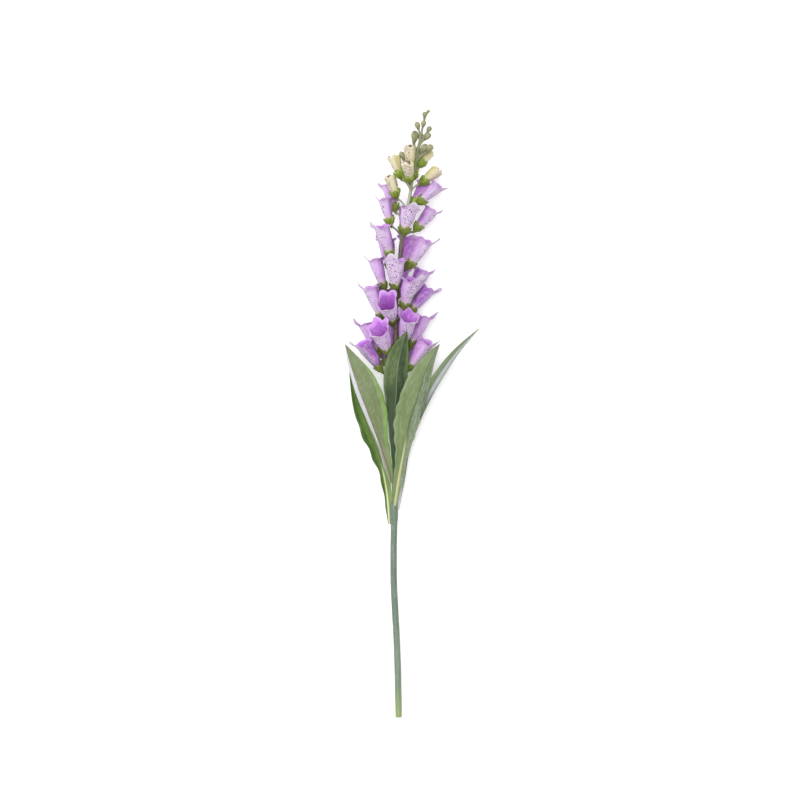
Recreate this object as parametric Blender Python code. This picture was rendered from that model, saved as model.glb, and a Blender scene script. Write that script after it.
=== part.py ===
"""One artificial foxglove stem, laid down on a flat surface.

The stem lies along +Y with the tip of the flower spike at +Y, and its front looks up along +Z. Sizes are in
millimetres, and a height is measured along +Y from the cut end. Bearings run round the stem: 0 degrees faces
up (+Z), 90 degrees faces +X and 180 degrees faces the surface that the stem lies on.
"""

import math
from typing import NamedTuple

import bmesh
import bpy
import numpy as np
from mathutils import Matrix, Vector

MM = 0.001
GAP = 0.3  # clearance between touching pieces
TANGENT_SPAN = 6  # how far up and down the axis its direction is read
ROUTE_STEPS = 6

# Route of the stem and the flower stalk: sideways, height above the cut end, and lift above the surface
STEM_ROUTE = [
    (0.0, 0, 4.6), (-0.3, 22, 4.9), (-1.2, 66, 8.3), (-2.5, 110, 12.1), (-4.8, 157, 15.9),
    (-7.1, 202, 19.3), (-7.7, 246, 22.5), (-7.1, 291, 25.7), (-7.1, 368, 31.2), (-6.3, 445, 36.6),
    (-5.5, 522, 42.0), (-4.8, 584, 46.0), (-3.5, 646, 49.2), (3.2, 723, 52.0), (6.8, 754, 52.8),
    (16.0, 800, 53.6), (23.8, 846, 54.0), (29.5, 877, 54.0), (34.6, 900, 54.0), (40.0, 924, 54.0),
    (44.7, 939, 54.0),
]

# Main stem: a plastic sleeve with a steel core wire and a socket for the flower stalk
CUT_END_RADIUS = 4.8
SLEEVE_RADIUS = 5.1
COLLAR_FOOT_RADIUS = 6.0
COLLAR_RADIUS = 6.4
COLLAR_HEIGHT = 317
SLEEVE_TOP = 334
SLEEVE_TOP_RADIUS = 5.4
BORE_RADIUS = 1.6
BORE_HEIGHTS = [0, 100, 200]
WIRE_RADIUS = 1.2
WIRE_SIDES = 8
SLEEVE_SIDES = 12
SOCKET_RADIUS = 3.5
SOCKET_FLOOR = 299

# Flower stalk: height and radius
STALK_RADII = [(300, 3.0), (334, 3.0), (346, 3.4), (420, 3.5), (600, 3.5), (723, 3.0), (850, 2.2), (936, 1.1)]
STALK_SIDES = 8
STALK_FOOT = [300, 334, 346]
STALK_STEP = 34

# Calyx: a green cup of five sepals that holds the foot of a bell
CALYX_SIDES = 10
CALYX_FOOT = 2.6
CALYX_DEPTH = 6.0
SEPAL_VALLEY = 3.0
SEPAL_TIP = 10.0
SEPAL_WALL = 0.8
SEPAL_SPREAD = 1.3
CALYX_FLOOR = 4.0

# Pedicel: a short stalk that leaves the flower stalk below its flower and bends out to it
PEDICEL_RADIUS = 1.4
PEDICEL_SIDES = 4
PEDICEL_DROP = 17
PEDICEL_BEND = 0.6
PEDICEL_RUN_OUT = 4
CALYX_ROOT = -4.0
BUD_ROOT = 2.5

# Bell: a thin flower tube with a long lower lip
BELL_SIDES = 12
BELL_WALL = 0.8
BELL_FOOT = 3.4
# Share of the height and share of the growth in width at each ring, from the foot to the throat
BELL_PROFILE = [(0.38, 0.6), (0.9, 1.0)]
RIM_FLARE = 1.6
LIP_CURL = 0.3
# Lobes of the rim: degrees from the lower lip, and half breadth in degrees
LIP = (0, 36)
SIDE_LOBE = (94, 27)
UPPER_LOBE = (150, 25)
LOBE_ROUNDNESS = 2.5


class BellSize(NamedTuple):
    """Half width is across the bell, and half depth is from the stem side to the lip side.

    The slant is how far the mouth rises towards the lip, in millimetres a millimetre.
    """

    length: float
    half_width: float
    half_depth: float
    lip: float
    side_lobe: float
    upper_lobe: float
    slant: float


BUDDING = BellSize(27, 7.0, 6.5, 4.0, 2.0, 2.0, 0.15)
CREAM = BellSize(31, 8.6, 7.8, 5.0, 2.5, 2.5, 0.15)
UPPER = BellSize(38, 12.5, 9.5, 12.0, 3.5, 3.5, 0.15)
MIDDLE = BellSize(46, 14.5, 10.8, 14.0, 4.0, 4.0, 0.15)
LOWER = BellSize(49, 15.5, 11.5, 14.0, 4.0, 4.0, 0.15)
# A bell that shows its open mouth, cut low at the lip and high at its back
GAPING = BellSize(44, 15.0, 12.0, 3.0, 5.0, 8.0, -0.45)


class Flower(NamedTuple):
    """Where a bell's foot sits and how it leans away from the stalk, in millimetres and degrees."""

    size: BellSize
    height: float
    bearing: float
    reach: float
    lean: float


# From the top of the spike down
FLOWERS = [
    Flower(BUDDING, 855, 132, 10, 34),
    Flower(CREAM, 849, -50, 8, 16),
    Flower(CREAM, 829, -22, 13, 36),
    Flower(CREAM, 833, -92, 19, 30),
    Flower(CREAM, 829, 88, 15, 42),
    Flower(CREAM, 802, -74, 21, 31),
    Flower(CREAM, 834, 180, 11, 28),
    Flower(UPPER, 799, 78, 16.5, 38),
    Flower(UPPER, 794, 134, 10, 28),
    Flower(UPPER, 781, -124, 22, 33),
    Flower(UPPER, 760, -84, 21, 25),
    Flower(UPPER, 750, 20, 9, 12),
    Flower(UPPER, 758, 104, 20, 30),
    Flower(UPPER, 750, 176, 11, 24),
    Flower(MIDDLE, 713, -66, 16, 25),
    Flower(MIDDLE, 692, -136, 19, 19),
    Flower(MIDDLE, 699, 72, 17, 28),
    Flower(MIDDLE, 697, 160, 12, 24),
    Flower(MIDDLE, 662, -17, 11, 18),
    Flower(MIDDLE, 662, -92, 20, 22),
    Flower(MIDDLE, 650, 104, 19, 26),
    Flower(MIDDLE, 650, 176, 13, 25),
    Flower(MIDDLE, 634, 50, 14, 21),
    Flower(MIDDLE, 627, 112, 22, 40),
    Flower(LOWER, 618, -78, 22, 21),
    Flower(GAPING, 612, -19, 14, 44),
    Flower(MIDDLE, 615, -142, 15, 23),
    Flower(GAPING, 578, 41, 16.4, 17),
    Flower(LOWER, 574, 106, 24, 24),
    Flower(GAPING, 565, -35, 20, 33),
    Flower(LOWER, 562, -102, 26, 23),
    Flower(LOWER, 566, 173, 14, 20),
    Flower(LOWER, 538, -72, 23, 35),
    Flower(LOWER, 540, 74, 22, 33),
    Flower(LOWER, 543, -147, 20.6, 24),
    Flower(LOWER, 538, 143, 20.5, 25),
]


class Bud(NamedTuple):
    """A closed bud of the tip, placed as a bell is."""

    height: float
    bearing: float
    reach: float
    lean: float
    length: float
    width: float


BUDS = [
    Bud(933, 60, 1, 10, 7, 5.6),
    Bud(926, -60, 1.5, 8, 9, 7),
    Bud(911, 0, 2.5, 5, 11, 8),
    Bud(906, -90, 5, 24, 13, 8.5),
    Bud(905, 100, 9, 10, 11, 8),
    Bud(893, 75, 6, 30, 14, 9),
    Bud(891, 180, 6, 22, 13, 9),
    Bud(884, -88, 8, 2, 20, 12),
    Bud(871, 50, 6, 25, 18, 10),
    Bud(875, 62, 16.5, 20, 14, 11),
    Bud(868, 178, 7, 22, 15, 10),
    Bud(856, -96, 17, 26, 16, 10),
]
BUD_SIDES = 7
# Share of the length and of the half width at each ring of a bud
BUD_PROFILE = [(0.0, 0.3), (0.3, 0.92), (0.7, 0.9), (1.0, 0.3)]


class Leaf(NamedTuple):
    """The midrib's route has sideways place, height, and lift above the stalk's axis at that height."""

    name: str
    midrib: list
    left_width: float
    right_width: float
    left_tilt: float
    right_tilt: float
    wave: float
    wave_start: float
    bluntness: float = 1.0


# Tilt is how far a half of the blade turns out of level: below zero its margin hangs under the midrib
LEAVES = [
    Leaf("leaf_1", [(-16.2, 300, -1), (-17.5, 330, -5), (-20.5, 360, -10), (-28.7, 402, -14),
                    (-42.6, 445, -17), (-58, 488, -17), (-75, 537, -13)], 18, 19, 35, 15, 2.2, 0.2),
    Leaf("leaf_2", [(-11.6, 364, 2.6), (-15, 381, 7), (-22, 402, 12.5), (-36.4, 442, 18),
                    (-52.5, 484, 22), (-60.2, 504, 22.5), (-74.4, 547, 20), (-82.7, 578, 16)],
         19, 32, -72, -8, 0.8, 0.0),
    Leaf("leaf_3", [(-3.6, 346, 4.6), (-4.4, 371, 5.4), (-7.0, 414, 8.5), (-7.1, 461, 10), (-4, 499, 13),
                    (-2.5, 535, 21), (3.7, 569, 31), (13, 598, 41)],
         20, 17, -14, -18, 0.8, 0.5, 1.45),
    Leaf("leaf_4", [(-6.2, 328, 6.8), (-2.5, 350, 9.2), (4, 389, 13.5), (10.3, 422, 18), (17, 457, 22),
                    (28, 494, 25), (39, 530, 26), (51.5, 558, 25), (63.4, 578, 23)],
         26, 24, -14, -52, 2.4, 0.6),
    Leaf("leaf_5", [(-1.5, 322, -6.3), (2.2, 350, -6.5), (9, 384, -8), (22, 437, -10), (41, 484, -9),
                    (64, 526, -6), (92, 566, -1), (126.4, 604, 5)], 19, 18, 55, 78, 1.0, 0.3),
]
LEAF_WALL = 0.8
LEAF_STATIONS = 16
LEAF_ROOT = 1.8
LEAF_ROOT_SHARE = 0.3
LEAF_OPEN_SHARE = 0.25
LEAF_SLOPE_SPAN = 0.02
# Share of the midrib's length and share of the greatest width
LEAF_OUTLINE = [(0.0, 0.0), (0.1, 0.16), (0.3, 0.46), (0.42, 0.78), (0.52, 0.96), (0.62, 1.0), (0.72, 0.93),
                (0.82, 0.69), (0.92, 0.33), (1.0, 0.0)]
LEAF_TIP = 0.5
LEAF_WAVES = 3.2
LEAF_WAVE_LAG = 1.7
LEAF_ROUTE_STEPS = 8

COLOURS = {
    "green_stem": ((0.24, 0.35, 0.26), 0.55, 0.0),
    "green_stalk": ((0.12, 0.20, 0.04), 0.5, 0.0),
    "steel": ((0.55, 0.56, 0.58), 0.35, 1.0),
    "leaf": ((0.21, 0.32, 0.13), 0.6, 0.0),
    "cream_bell": ((0.75, 0.70, 0.42), 0.65, 0.0),
    "lilac_bell": ((0.50, 0.27, 0.68), 0.65, 0.0),
}


def clear_scene():
    """Removes what the scene holds."""
    for obj in list(bpy.data.objects):
        bpy.data.objects.remove(obj, do_unlink=True)


def material(name):
    """The Principled material of that name, made once."""
    found = bpy.data.materials.get(name)
    if found:
        return found
    colour, roughness, metallic = COLOURS[name]
    made = bpy.data.materials.new(name)
    made.use_nodes = True
    shader = made.node_tree.nodes["Principled BSDF"]
    shader.inputs["Base Color"].default_value = (*colour, 1)
    shader.inputs["Roughness"].default_value = roughness
    shader.inputs["Metallic"].default_value = metallic
    return made


def smooth_route(points, steps):
    """A smooth curve through the points, as Catmull-Rom spans of the given number of steps."""
    padded = [2 * points[0] - points[1], *points, 2 * points[-1] - points[-2]]
    route = []
    for a, b, c, d in zip(padded, padded[1:], padded[2:], padded[3:]):
        for step in range(steps):
            t = step / steps
            route.append(0.5 * (2 * b + (c - a) * t + (2 * a - 5 * b + 4 * c - d) * t**2
                                + (3 * b - a - 3 * c + d) * t**3))
    return [*route, points[-1]]


AXIS = np.array(smooth_route([np.array(p, float) for p in STEM_ROUTE], ROUTE_STEPS))


def axis_point(height):
    """The point of the stem's axis at this height, in millimetres."""
    return Vector([float(np.interp(height, AXIS[:, 1], AXIS[:, side])) for side in range(3)])


def axis_tangent(height):
    """The stem's direction at this height."""
    return (axis_point(height + TANGENT_SPAN) - axis_point(height - TANGENT_SPAN)).normalized()


def placing(height, bearing, reach, lean):
    """The frame of a flower: local Z along it, local X away from the stalk."""
    along = axis_tangent(height)
    turn = math.radians(bearing)
    out = Vector((math.sin(turn), 0, math.cos(turn)))
    out = (out - out.dot(along) * along).normalized()
    tilt = math.radians(lean)
    z = math.cos(tilt) * along + math.sin(tilt) * out
    x = math.cos(tilt) * out - math.sin(tilt) * along
    y = z.cross(x)
    frame = Matrix((x, y, z)).transposed().to_4x4()
    frame.translation = axis_point(height) + reach * out
    return frame


def skin(rings, closed=False, cap_top=True):
    """A bmesh from rings of points, each extruded from the last, with its ends capped or joined in a loop."""
    bm = bmesh.new()
    first = bmesh.ops.create_circle(bm, cap_ends=not closed, radius=1, segments=len(rings[0]))["verts"]
    loop = sorted(first, key=lambda v: math.atan2(v.co.y, v.co.x) % math.tau)
    edges = [e for e in bm.edges]
    for vert, point in zip(loop, rings[0]):
        vert.co = point
    start = loop
    for ring in rings[1:]:
        grown = bmesh.ops.extrude_edge_only(bm, edges=edges)["geom"]
        fresh = {v for v in grown if isinstance(v, bmesh.types.BMVert)}
        edges = [e for e in grown if isinstance(e, bmesh.types.BMEdge) and set(e.verts) <= fresh]
        loop = [next(e.other_vert(v) for e in v.link_edges if e.other_vert(v) in fresh) for v in loop]
        for vert, point in zip(loop, ring):
            vert.co = point
    if closed:
        ends = [bm.edges.get((a, b)) for a, b in zip(start, start[1:] + start[:1])]
        bmesh.ops.bridge_loops(bm, edges=edges + ends)
    elif cap_top:
        bmesh.ops.contextual_create(bm, geom=edges)
    bmesh.ops.recalc_face_normals(bm, faces=bm.faces[:])
    if not closed and not cap_top:
        foot = max(bm.faces, key=lambda face: len(face.verts))
        if foot.normal.dot(rings[1][0] - rings[0][0]) > 0:
            bmesh.ops.reverse_faces(bm, faces=bm.faces[:])
    return bm


def round_ring(centre, along, radius, sides, phase=0.5):
    """Points of a circle across a direction, with a flat side downwards at phase 0.5."""
    across = along.cross(Vector((0, 0, 1))).normalized()
    up = across.cross(along)
    angles = [math.tau * (k + phase) / sides for k in range(sides)]
    return [centre + radius * (math.sin(a) * across - math.cos(a) * up) for a in angles]


def add(name, bm, colour, holder, frame=None):
    """An object from a bmesh in millimetres, placed by its frame and carried by the holder."""
    bmesh.ops.transform(bm, matrix=Matrix.Scale(MM, 4), verts=bm.verts)
    mesh = bpy.data.meshes.new(name)
    bm.to_mesh(mesh)
    bm.free()
    obj = bpy.data.objects.new(name, mesh)
    mesh.materials.append(material(colour))
    bpy.context.scene.collection.objects.link(obj)
    if frame is not None:
        placed = frame.copy()
        placed.translation = frame.translation * MM
        obj.matrix_world = placed
    obj.parent = holder
    mesh.shade_smooth()
    return obj


def make_core_wire(holder):
    """The steel wire inside the sleeve, from the cut end to the foot of the flower stalk."""
    heights = [*BORE_HEIGHTS, SOCKET_FLOOR - GAP]
    rings = [round_ring(axis_point(h), axis_tangent(h), WIRE_RADIUS, WIRE_SIDES) for h in heights]
    return add("core_wire", skin(rings), "steel", holder)


def make_main_stem(holder):
    """The plastic sleeve: outer wall up, socket and bore back down, with a flat spot under its cut end."""
    outer = [(0, CUT_END_RADIUS), (22, SLEEVE_RADIUS), (100, SLEEVE_RADIUS), (200, SLEEVE_RADIUS),
             (290, SLEEVE_RADIUS), (306, COLLAR_FOOT_RADIUS), (COLLAR_HEIGHT, COLLAR_RADIUS),
             (SLEEVE_TOP, SLEEVE_TOP_RADIUS)]
    inner = [(SLEEVE_TOP, SOCKET_RADIUS), (SOCKET_FLOOR, SOCKET_RADIUS), (SOCKET_FLOOR, BORE_RADIUS)]
    inner += [(height, BORE_RADIUS) for height in reversed(BORE_HEIGHTS)]
    rings = [round_ring(axis_point(h), axis_tangent(h), r, SLEEVE_SIDES) for h, r in outer + inner]
    for ring in rings:
        for point in ring:
            point.z = max(point.z, 0.0)
    return add("main_stem", skin(rings, closed=True), "green_stem", holder)


def bell_half(size, share):
    """Half depth and half width of a bell at a share of its growth."""
    grown = [BELL_FOOT + (side - BELL_FOOT) * share for side in (size.half_depth, size.half_width)]
    return grown[0], grown[1]


def lobe(size, angle):
    """How far the rim reaches past the throat at an angle from the lower lip."""
    off = math.degrees(abs((angle + math.pi) % math.tau - math.pi))
    lobes = [(size.lip, LIP), (size.side_lobe, SIDE_LOBE), (size.upper_lobe, UPPER_LOBE)]
    return sum(reach * math.exp(-((abs(off - at) / half) ** LOBE_ROUNDNESS)) for reach, (at, half) in lobes)


def bell_rings(size):
    """The rings of a bell's outer face, from its foot to its rim, in the bell's own frame."""
    angles = [math.tau * k / BELL_SIDES for k in range(BELL_SIDES)]
    rings = [[Vector((BELL_FOOT * math.cos(a), BELL_FOOT * math.sin(a), 0)) for a in angles]]
    for rise, share in BELL_PROFILE:
        deep, wide = bell_half(size, share)
        slant = size.slant * share
        rings.append([Vector((deep * math.cos(a), wide * math.sin(a),
                              size.length * rise + slant * deep * math.cos(a))) for a in angles])
    throat, rim = rings[-1], []
    for a, point in zip(angles, throat):
        reach = lobe(size, a)
        push = RIM_FLARE + LIP_CURL * reach
        rise = size.length * (1 - BELL_PROFILE[-1][0]) + reach
        rim.append(point + Vector((push * math.cos(a), push * math.sin(a), rise)))
    return [*rings, rim]


def make_bell(number, flower, holder):
    """A bell's outer face, pressed flat where it would pass below the surface, with a wall added inwards."""
    frame = placing(flower.height, flower.bearing, flower.reach, flower.lean)
    lying = frame.inverted()
    rings = []
    for ring in bell_rings(flower.size):
        placed = [frame @ point for point in ring]
        for point in placed:
            point.z = max(point.z, 0.0)
        rings.append([lying @ point for point in placed])
    bm = skin(rings, cap_top=False)
    bmesh.ops.triangulate(bm, faces=bm.faces[:])
    colour = "cream_bell" if flower.size in (CREAM, BUDDING) else "lilac_bell"
    bell = add(f"bell_{number:02d}", bm, colour, holder, frame)
    wall = bell.modifiers.new("wall", "SOLIDIFY")
    wall.thickness = BELL_WALL * MM
    wall.offset = -1
    wall.use_even_offset = True
    return bell


def calyx_rings(size):
    """The rings of a calyx in its bell's frame: cup outside, five sepal points, cup inside."""
    angles = [math.tau * k / CALYX_SIDES for k in range(CALYX_SIDES)]
    rise, share = BELL_PROFILE[0]

    def ring(height, spread, pointed):
        """Points round the bell's wall at this height, with every other one raised to a sepal's point."""
        points = []
        for k, a in enumerate(angles):
            z = height + (pointed if k % 2 == 0 else 0)
            deep, wide = bell_half(size, share * max(z, 0) / (rise * size.length))
            points.append(Vector(((deep + spread) * math.cos(a), (wide + spread) * math.sin(a), z)))
        return points

    foot = [Vector((CALYX_FOOT * math.cos(a), CALYX_FOOT * math.sin(a), -CALYX_DEPTH)) for a in angles]
    pointed = SEPAL_TIP - SEPAL_VALLEY
    outer = ring(SEPAL_VALLEY, SEPAL_SPREAD + SEPAL_WALL, pointed)
    inner = ring(SEPAL_VALLEY, SEPAL_SPREAD, pointed)
    floor = [Vector((CALYX_FLOOR * math.cos(a), CALYX_FLOOR * math.sin(a), -GAP)) for a in angles]
    return [foot, outer, inner, floor]


def pedicel_rings(height, frame, depth):
    """A short stalk from inside the flower stalk to a depth in the foot of a calyx or a bud."""
    seat = frame @ Vector((0, 0, depth))
    along = frame.to_3x3() @ Vector((0, 0, 1))
    root = axis_point(height - PEDICEL_DROP)
    elbow = axis_point(height - PEDICEL_DROP / 2).lerp(seat - PEDICEL_RUN_OUT * along, PEDICEL_BEND)
    turns = [elbow - root, seat - root, seat - elbow]
    return [round_ring(point, turn.normalized(), PEDICEL_RADIUS, PEDICEL_SIDES)
            for point, turn in zip([root, elbow, seat], turns)]


def bud_rings(bud):
    """The rings of a bud in its own frame, with small flat ends."""
    rings = []
    for rise, share in BUD_PROFILE:
        radius = share * bud.width / 2
        rings.append([Vector((radius * math.cos(a), radius * math.sin(a), rise * bud.length))
                      for a in [math.tau * k / BUD_SIDES for k in range(BUD_SIDES)]])
    return rings


def make_sprig(number, item):
    """What one flower or bud adds to the stalk: its pedicel, and its calyx or its own closed body."""
    frame = placing(item.height, item.bearing, item.reach, item.lean)
    if isinstance(item, Bud):
        root, head = BUD_ROOT, bud_rings(item)
    else:
        root, head = CALYX_ROOT, calyx_rings(item.size)
    pedicel = skin(pedicel_rings(item.height, frame, root))
    return [add(f"pedicel_{number}", pedicel, "green_stalk", None),
            add(f"head_{number}", skin(head), "green_stalk", None, frame)]


def make_flower_stalk(holder):
    """The stalk of the spike with its pedicels, calyces and buds, joined in one body."""
    known = np.array(STALK_RADII, float)
    top = STALK_RADII[-1][0]
    heights = [*STALK_FOOT, *range(STALK_FOOT[-1] + STALK_STEP, top - STALK_STEP // 2, STALK_STEP), top]
    rings = [round_ring(axis_point(h), axis_tangent(h), float(np.interp(h, known[:, 0], known[:, 1])),
                        STALK_SIDES) for h in heights]
    stalk = add("flower_stalk", skin(rings), "green_stalk", holder)
    sprigs = bpy.data.collections.new("sprigs")
    bpy.context.scene.collection.children.link(sprigs)
    for number, item in enumerate([*FLOWERS, *BUDS]):
        for body in make_sprig(number, item):
            bpy.context.scene.collection.objects.unlink(body)
            sprigs.objects.link(body)
    join = stalk.modifiers.new("join", "BOOLEAN")
    join.operation = "UNION"
    join.operand_type = "COLLECTION"
    join.collection = sprigs
    join.solver = "MANIFOLD"
    bpy.context.view_layer.update()
    joined = bpy.data.meshes.new_from_object(stalk.evaluated_get(bpy.context.evaluated_depsgraph_get()))
    stalk.modifiers.clear()
    stalk.data = joined
    for body in list(sprigs.objects):
        bpy.data.objects.remove(body, do_unlink=True)
    bpy.data.collections.remove(sprigs)
    return stalk


def make_leaf(leaf, holder):
    """A waved blade round its midrib, its margins tilted and its root drawn in to a narrow foot."""
    points = [Vector((x, y, axis_point(y).z + lift)) for x, y, lift in leaf.midrib]
    fine = np.array(smooth_route([np.array(p) for p in points], LEAF_ROUTE_STEPS))
    run = np.concatenate([[0], np.cumsum(np.linalg.norm(np.diff(fine, axis=0), axis=1))])
    run /= run[-1]

    def midrib(t):
        """The midrib's point at a share of its length."""
        return Vector([float(np.interp(t, run, fine[:, side])) for side in range(3)])

    bm = bmesh.new()
    bmesh.ops.create_grid(bm, x_segments=4, y_segments=LEAF_STATIONS, size=1)
    outline = np.array(LEAF_OUTLINE)
    for vert in bm.verts:
        u, t = vert.co.x, (vert.co.y + 1) / 2
        centre = midrib(t)
        ahead, behind = midrib(min(t + LEAF_SLOPE_SPAN, 1)), midrib(max(t - LEAF_SLOPE_SPAN, 0))
        along = (ahead - behind).normalized()
        across = along.cross(Vector((0, 0, 1))).normalized()
        up = across.cross(along)
        share = float(np.interp(t**leaf.bluntness, outline[:, 0], outline[:, 1]))
        root = LEAF_ROOT * max(0.0, 1 - t / LEAF_ROOT_SHARE) + LEAF_TIP
        left = u < 0
        width = abs(u) * (share * (leaf.left_width if left else leaf.right_width) + root)
        tilt = math.radians(leaf.left_tilt if left else leaf.right_tilt) * min(1.0, t / LEAF_OPEN_SHARE)
        turns = math.tau * (LEAF_WAVES * t + leaf.wave_start) + (LEAF_WAVE_LAG if left else 0)
        wave = leaf.wave * share * u * u * math.sin(turns)
        sideways = (-width if left else width) * math.cos(tilt)
        vert.co = centre + sideways * across + (width * math.sin(tilt) + wave) * up
    bmesh.ops.triangulate(bm, faces=bm.faces[:])
    blade = add(leaf.name, bm, "leaf", holder)
    wall = blade.modifiers.new("wall", "SOLIDIFY")
    wall.thickness = LEAF_WALL * MM
    wall.offset = 0
    return blade


def set_down(holder, parts):
    """Moves everything so that the origin is under the middle of the whole stem."""
    bpy.context.view_layer.update()
    graph = bpy.context.evaluated_depsgraph_get()
    corners = []
    for part in parts:
        solid = part.evaluated_get(graph)
        corners += [solid.matrix_world @ Vector(corner) for corner in solid.bound_box]
    low = [min(c[k] for c in corners) for k in range(3)]
    high = [max(c[k] for c in corners) for k in range(3)]
    holder.location = (-(low[0] + high[0]) / 2, -(low[1] + high[1]) / 2, 0)


def main():
    """Builds the stem from the wire outwards."""
    clear_scene()
    holder = bpy.data.objects.new("foxglove", None)
    bpy.context.scene.collection.objects.link(holder)
    parts = [make_core_wire(holder), make_main_stem(holder), make_flower_stalk(holder)]
    parts += [make_leaf(leaf, holder) for leaf in LEAVES]
    parts += [make_bell(number, flower, holder) for number, flower in enumerate(FLOWERS, 1)]
    set_down(holder, parts)


main()
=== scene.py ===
"""Looks of one artificial foxglove stem that lies on a flat surface.

Sizes are in millimetres until a piece is finished. The stem lies along +Y with the tip of its flower
spike at +Y, and its front looks up along +Z. A height is measured along +Y from the cut end, and a bearing
runs round the stem: 0 degrees faces up and 90 degrees faces +X.
"""

import logging
import math
import random
from collections.abc import Callable
from dataclasses import dataclass
from enum import Enum
from functools import cached_property

import bmesh
import bpy
import numpy as np
from mathutils import Matrix, Vector, noise


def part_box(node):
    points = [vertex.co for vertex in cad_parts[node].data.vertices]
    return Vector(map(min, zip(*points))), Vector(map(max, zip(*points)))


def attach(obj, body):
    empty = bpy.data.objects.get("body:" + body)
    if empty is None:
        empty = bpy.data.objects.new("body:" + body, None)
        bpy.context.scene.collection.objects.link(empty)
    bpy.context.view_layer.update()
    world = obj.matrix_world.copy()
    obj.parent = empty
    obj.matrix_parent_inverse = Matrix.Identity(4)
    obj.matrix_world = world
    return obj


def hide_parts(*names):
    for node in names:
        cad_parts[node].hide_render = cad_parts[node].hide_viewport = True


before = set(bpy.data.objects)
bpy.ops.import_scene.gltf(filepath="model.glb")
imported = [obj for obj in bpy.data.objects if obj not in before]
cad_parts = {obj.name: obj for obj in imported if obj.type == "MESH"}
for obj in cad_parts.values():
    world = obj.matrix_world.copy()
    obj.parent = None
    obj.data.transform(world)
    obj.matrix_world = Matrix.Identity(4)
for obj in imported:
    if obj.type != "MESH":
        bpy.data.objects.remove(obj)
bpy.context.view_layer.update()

MM = 0.001
STUDIO_LIGHT = 1.25
LOG = logging.getLogger("foxglove")

Place = Callable[[float, float], Vector]
Rgb = tuple[int, int, int]
Socket = bpy.types.NodeSocket
Sockets = bpy.types.bpy_prop_collection
Paint = Rgb | Socket


class Slot(Enum):
    """The record's material slots."""

    STEM = "green_stem"
    STALK = "green_stalk"
    STEEL = "steel"
    LEAF = "leaf"
    CREAM = "cream_bell"
    LILAC = "lilac_bell"


class Dye(Enum):
    """The two dyes of the bells."""

    CREAM = "cream"
    LILAC = "lilac"


def seen(red: int, green: int, blue: int) -> tuple[float, float, float, float]:
    """The surface colour that shows these screen values, 0 to 255, under the studio's light."""
    linear = [((value / 255 + 0.055) / 1.055) ** 2.4 for value in (red, green, blue)]
    return (*[value / STUDIO_LIGHT for value in linear], 1.0)


def smoothstep(low: float, high: float, value: float) -> float:
    """0 below low, 1 above high and a soft step between them."""
    share = min(1.0, max(0.0, (value - low) / (high - low)))
    return share * share * (3 - 2 * share)


def smooth_route(points: list[Vector], steps: int) -> np.ndarray:
    """A smooth curve through points.

    Args:
        points: The points that the curve passes.
        steps: How many short straight steps lie between two points.

    Returns:
        The curve's points as rows.
    """
    rows = [np.array(point, float) for point in points]
    padded = [2 * rows[0] - rows[1], *rows, 2 * rows[-1] - rows[-2]]
    route = []
    for a, b, c, d in zip(padded, padded[1:], padded[2:], padded[3:]):
        for step in range(steps):
            t = step / steps
            route.append(0.5 * (2 * b + (c - a) * t + (2 * a - 5 * b + 4 * c - d) * t**2
                                + (3 * b - a - 3 * c + d) * t**3))
    return np.array([*route, rows[-1]])


def smooth_curve(knots: list[tuple[float, float]]) -> Callable[[float], float]:
    """A smooth function through knots of place and value, flat beyond its ends."""
    route = smooth_route([Vector((x, y, 0)) for x, y in knots], 10)
    return lambda x: float(np.interp(x, route[:, 0], route[:, 1]))


@dataclass(frozen=True)
class StemAxis:
    """The line that the stem and the flower stalk follow.

    Attributes:
        turns: Sideways place, height above the cut end and lift above the surface.
        steps: Steps of the smooth curve between two turns.
        reach: How far up and down the direction is read.
    """

    turns: tuple[tuple[float, float, float], ...] = (
        (0.0, 0, 4.6), (-0.3, 22, 4.9), (-1.2, 66, 8.3), (-2.5, 110, 12.1), (-4.8, 157, 15.9),
        (-7.1, 202, 19.3), (-7.7, 246, 22.5), (-7.1, 291, 25.7), (-7.1, 368, 31.2), (-6.3, 445, 36.6),
        (-5.5, 522, 42.0), (-4.8, 584, 46.0), (-3.5, 646, 49.2), (3.2, 723, 52.0), (6.8, 754, 52.8),
        (16.0, 800, 53.6), (23.8, 846, 54.0), (29.5, 877, 54.0), (34.6, 900, 54.0), (40.0, 924, 54.0),
        (44.7, 939, 54.0),
    )
    steps: int = 6
    reach: float = 6.0

    @cached_property
    def curve(self) -> np.ndarray:
        """The smooth curve through the turns."""
        return smooth_route([Vector(turn) for turn in self.turns], self.steps)

    def point(self, height: float) -> Vector:
        """The point of the axis at this height."""
        return Vector([float(np.interp(height, self.curve[:, 1], self.curve[:, side])) for side in range(3)])

    def tangent(self, height: float) -> Vector:
        """The direction of the axis at this height."""
        return (self.point(height + self.reach) - self.point(height - self.reach)).normalized()


AXIS = StemAxis()


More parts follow.
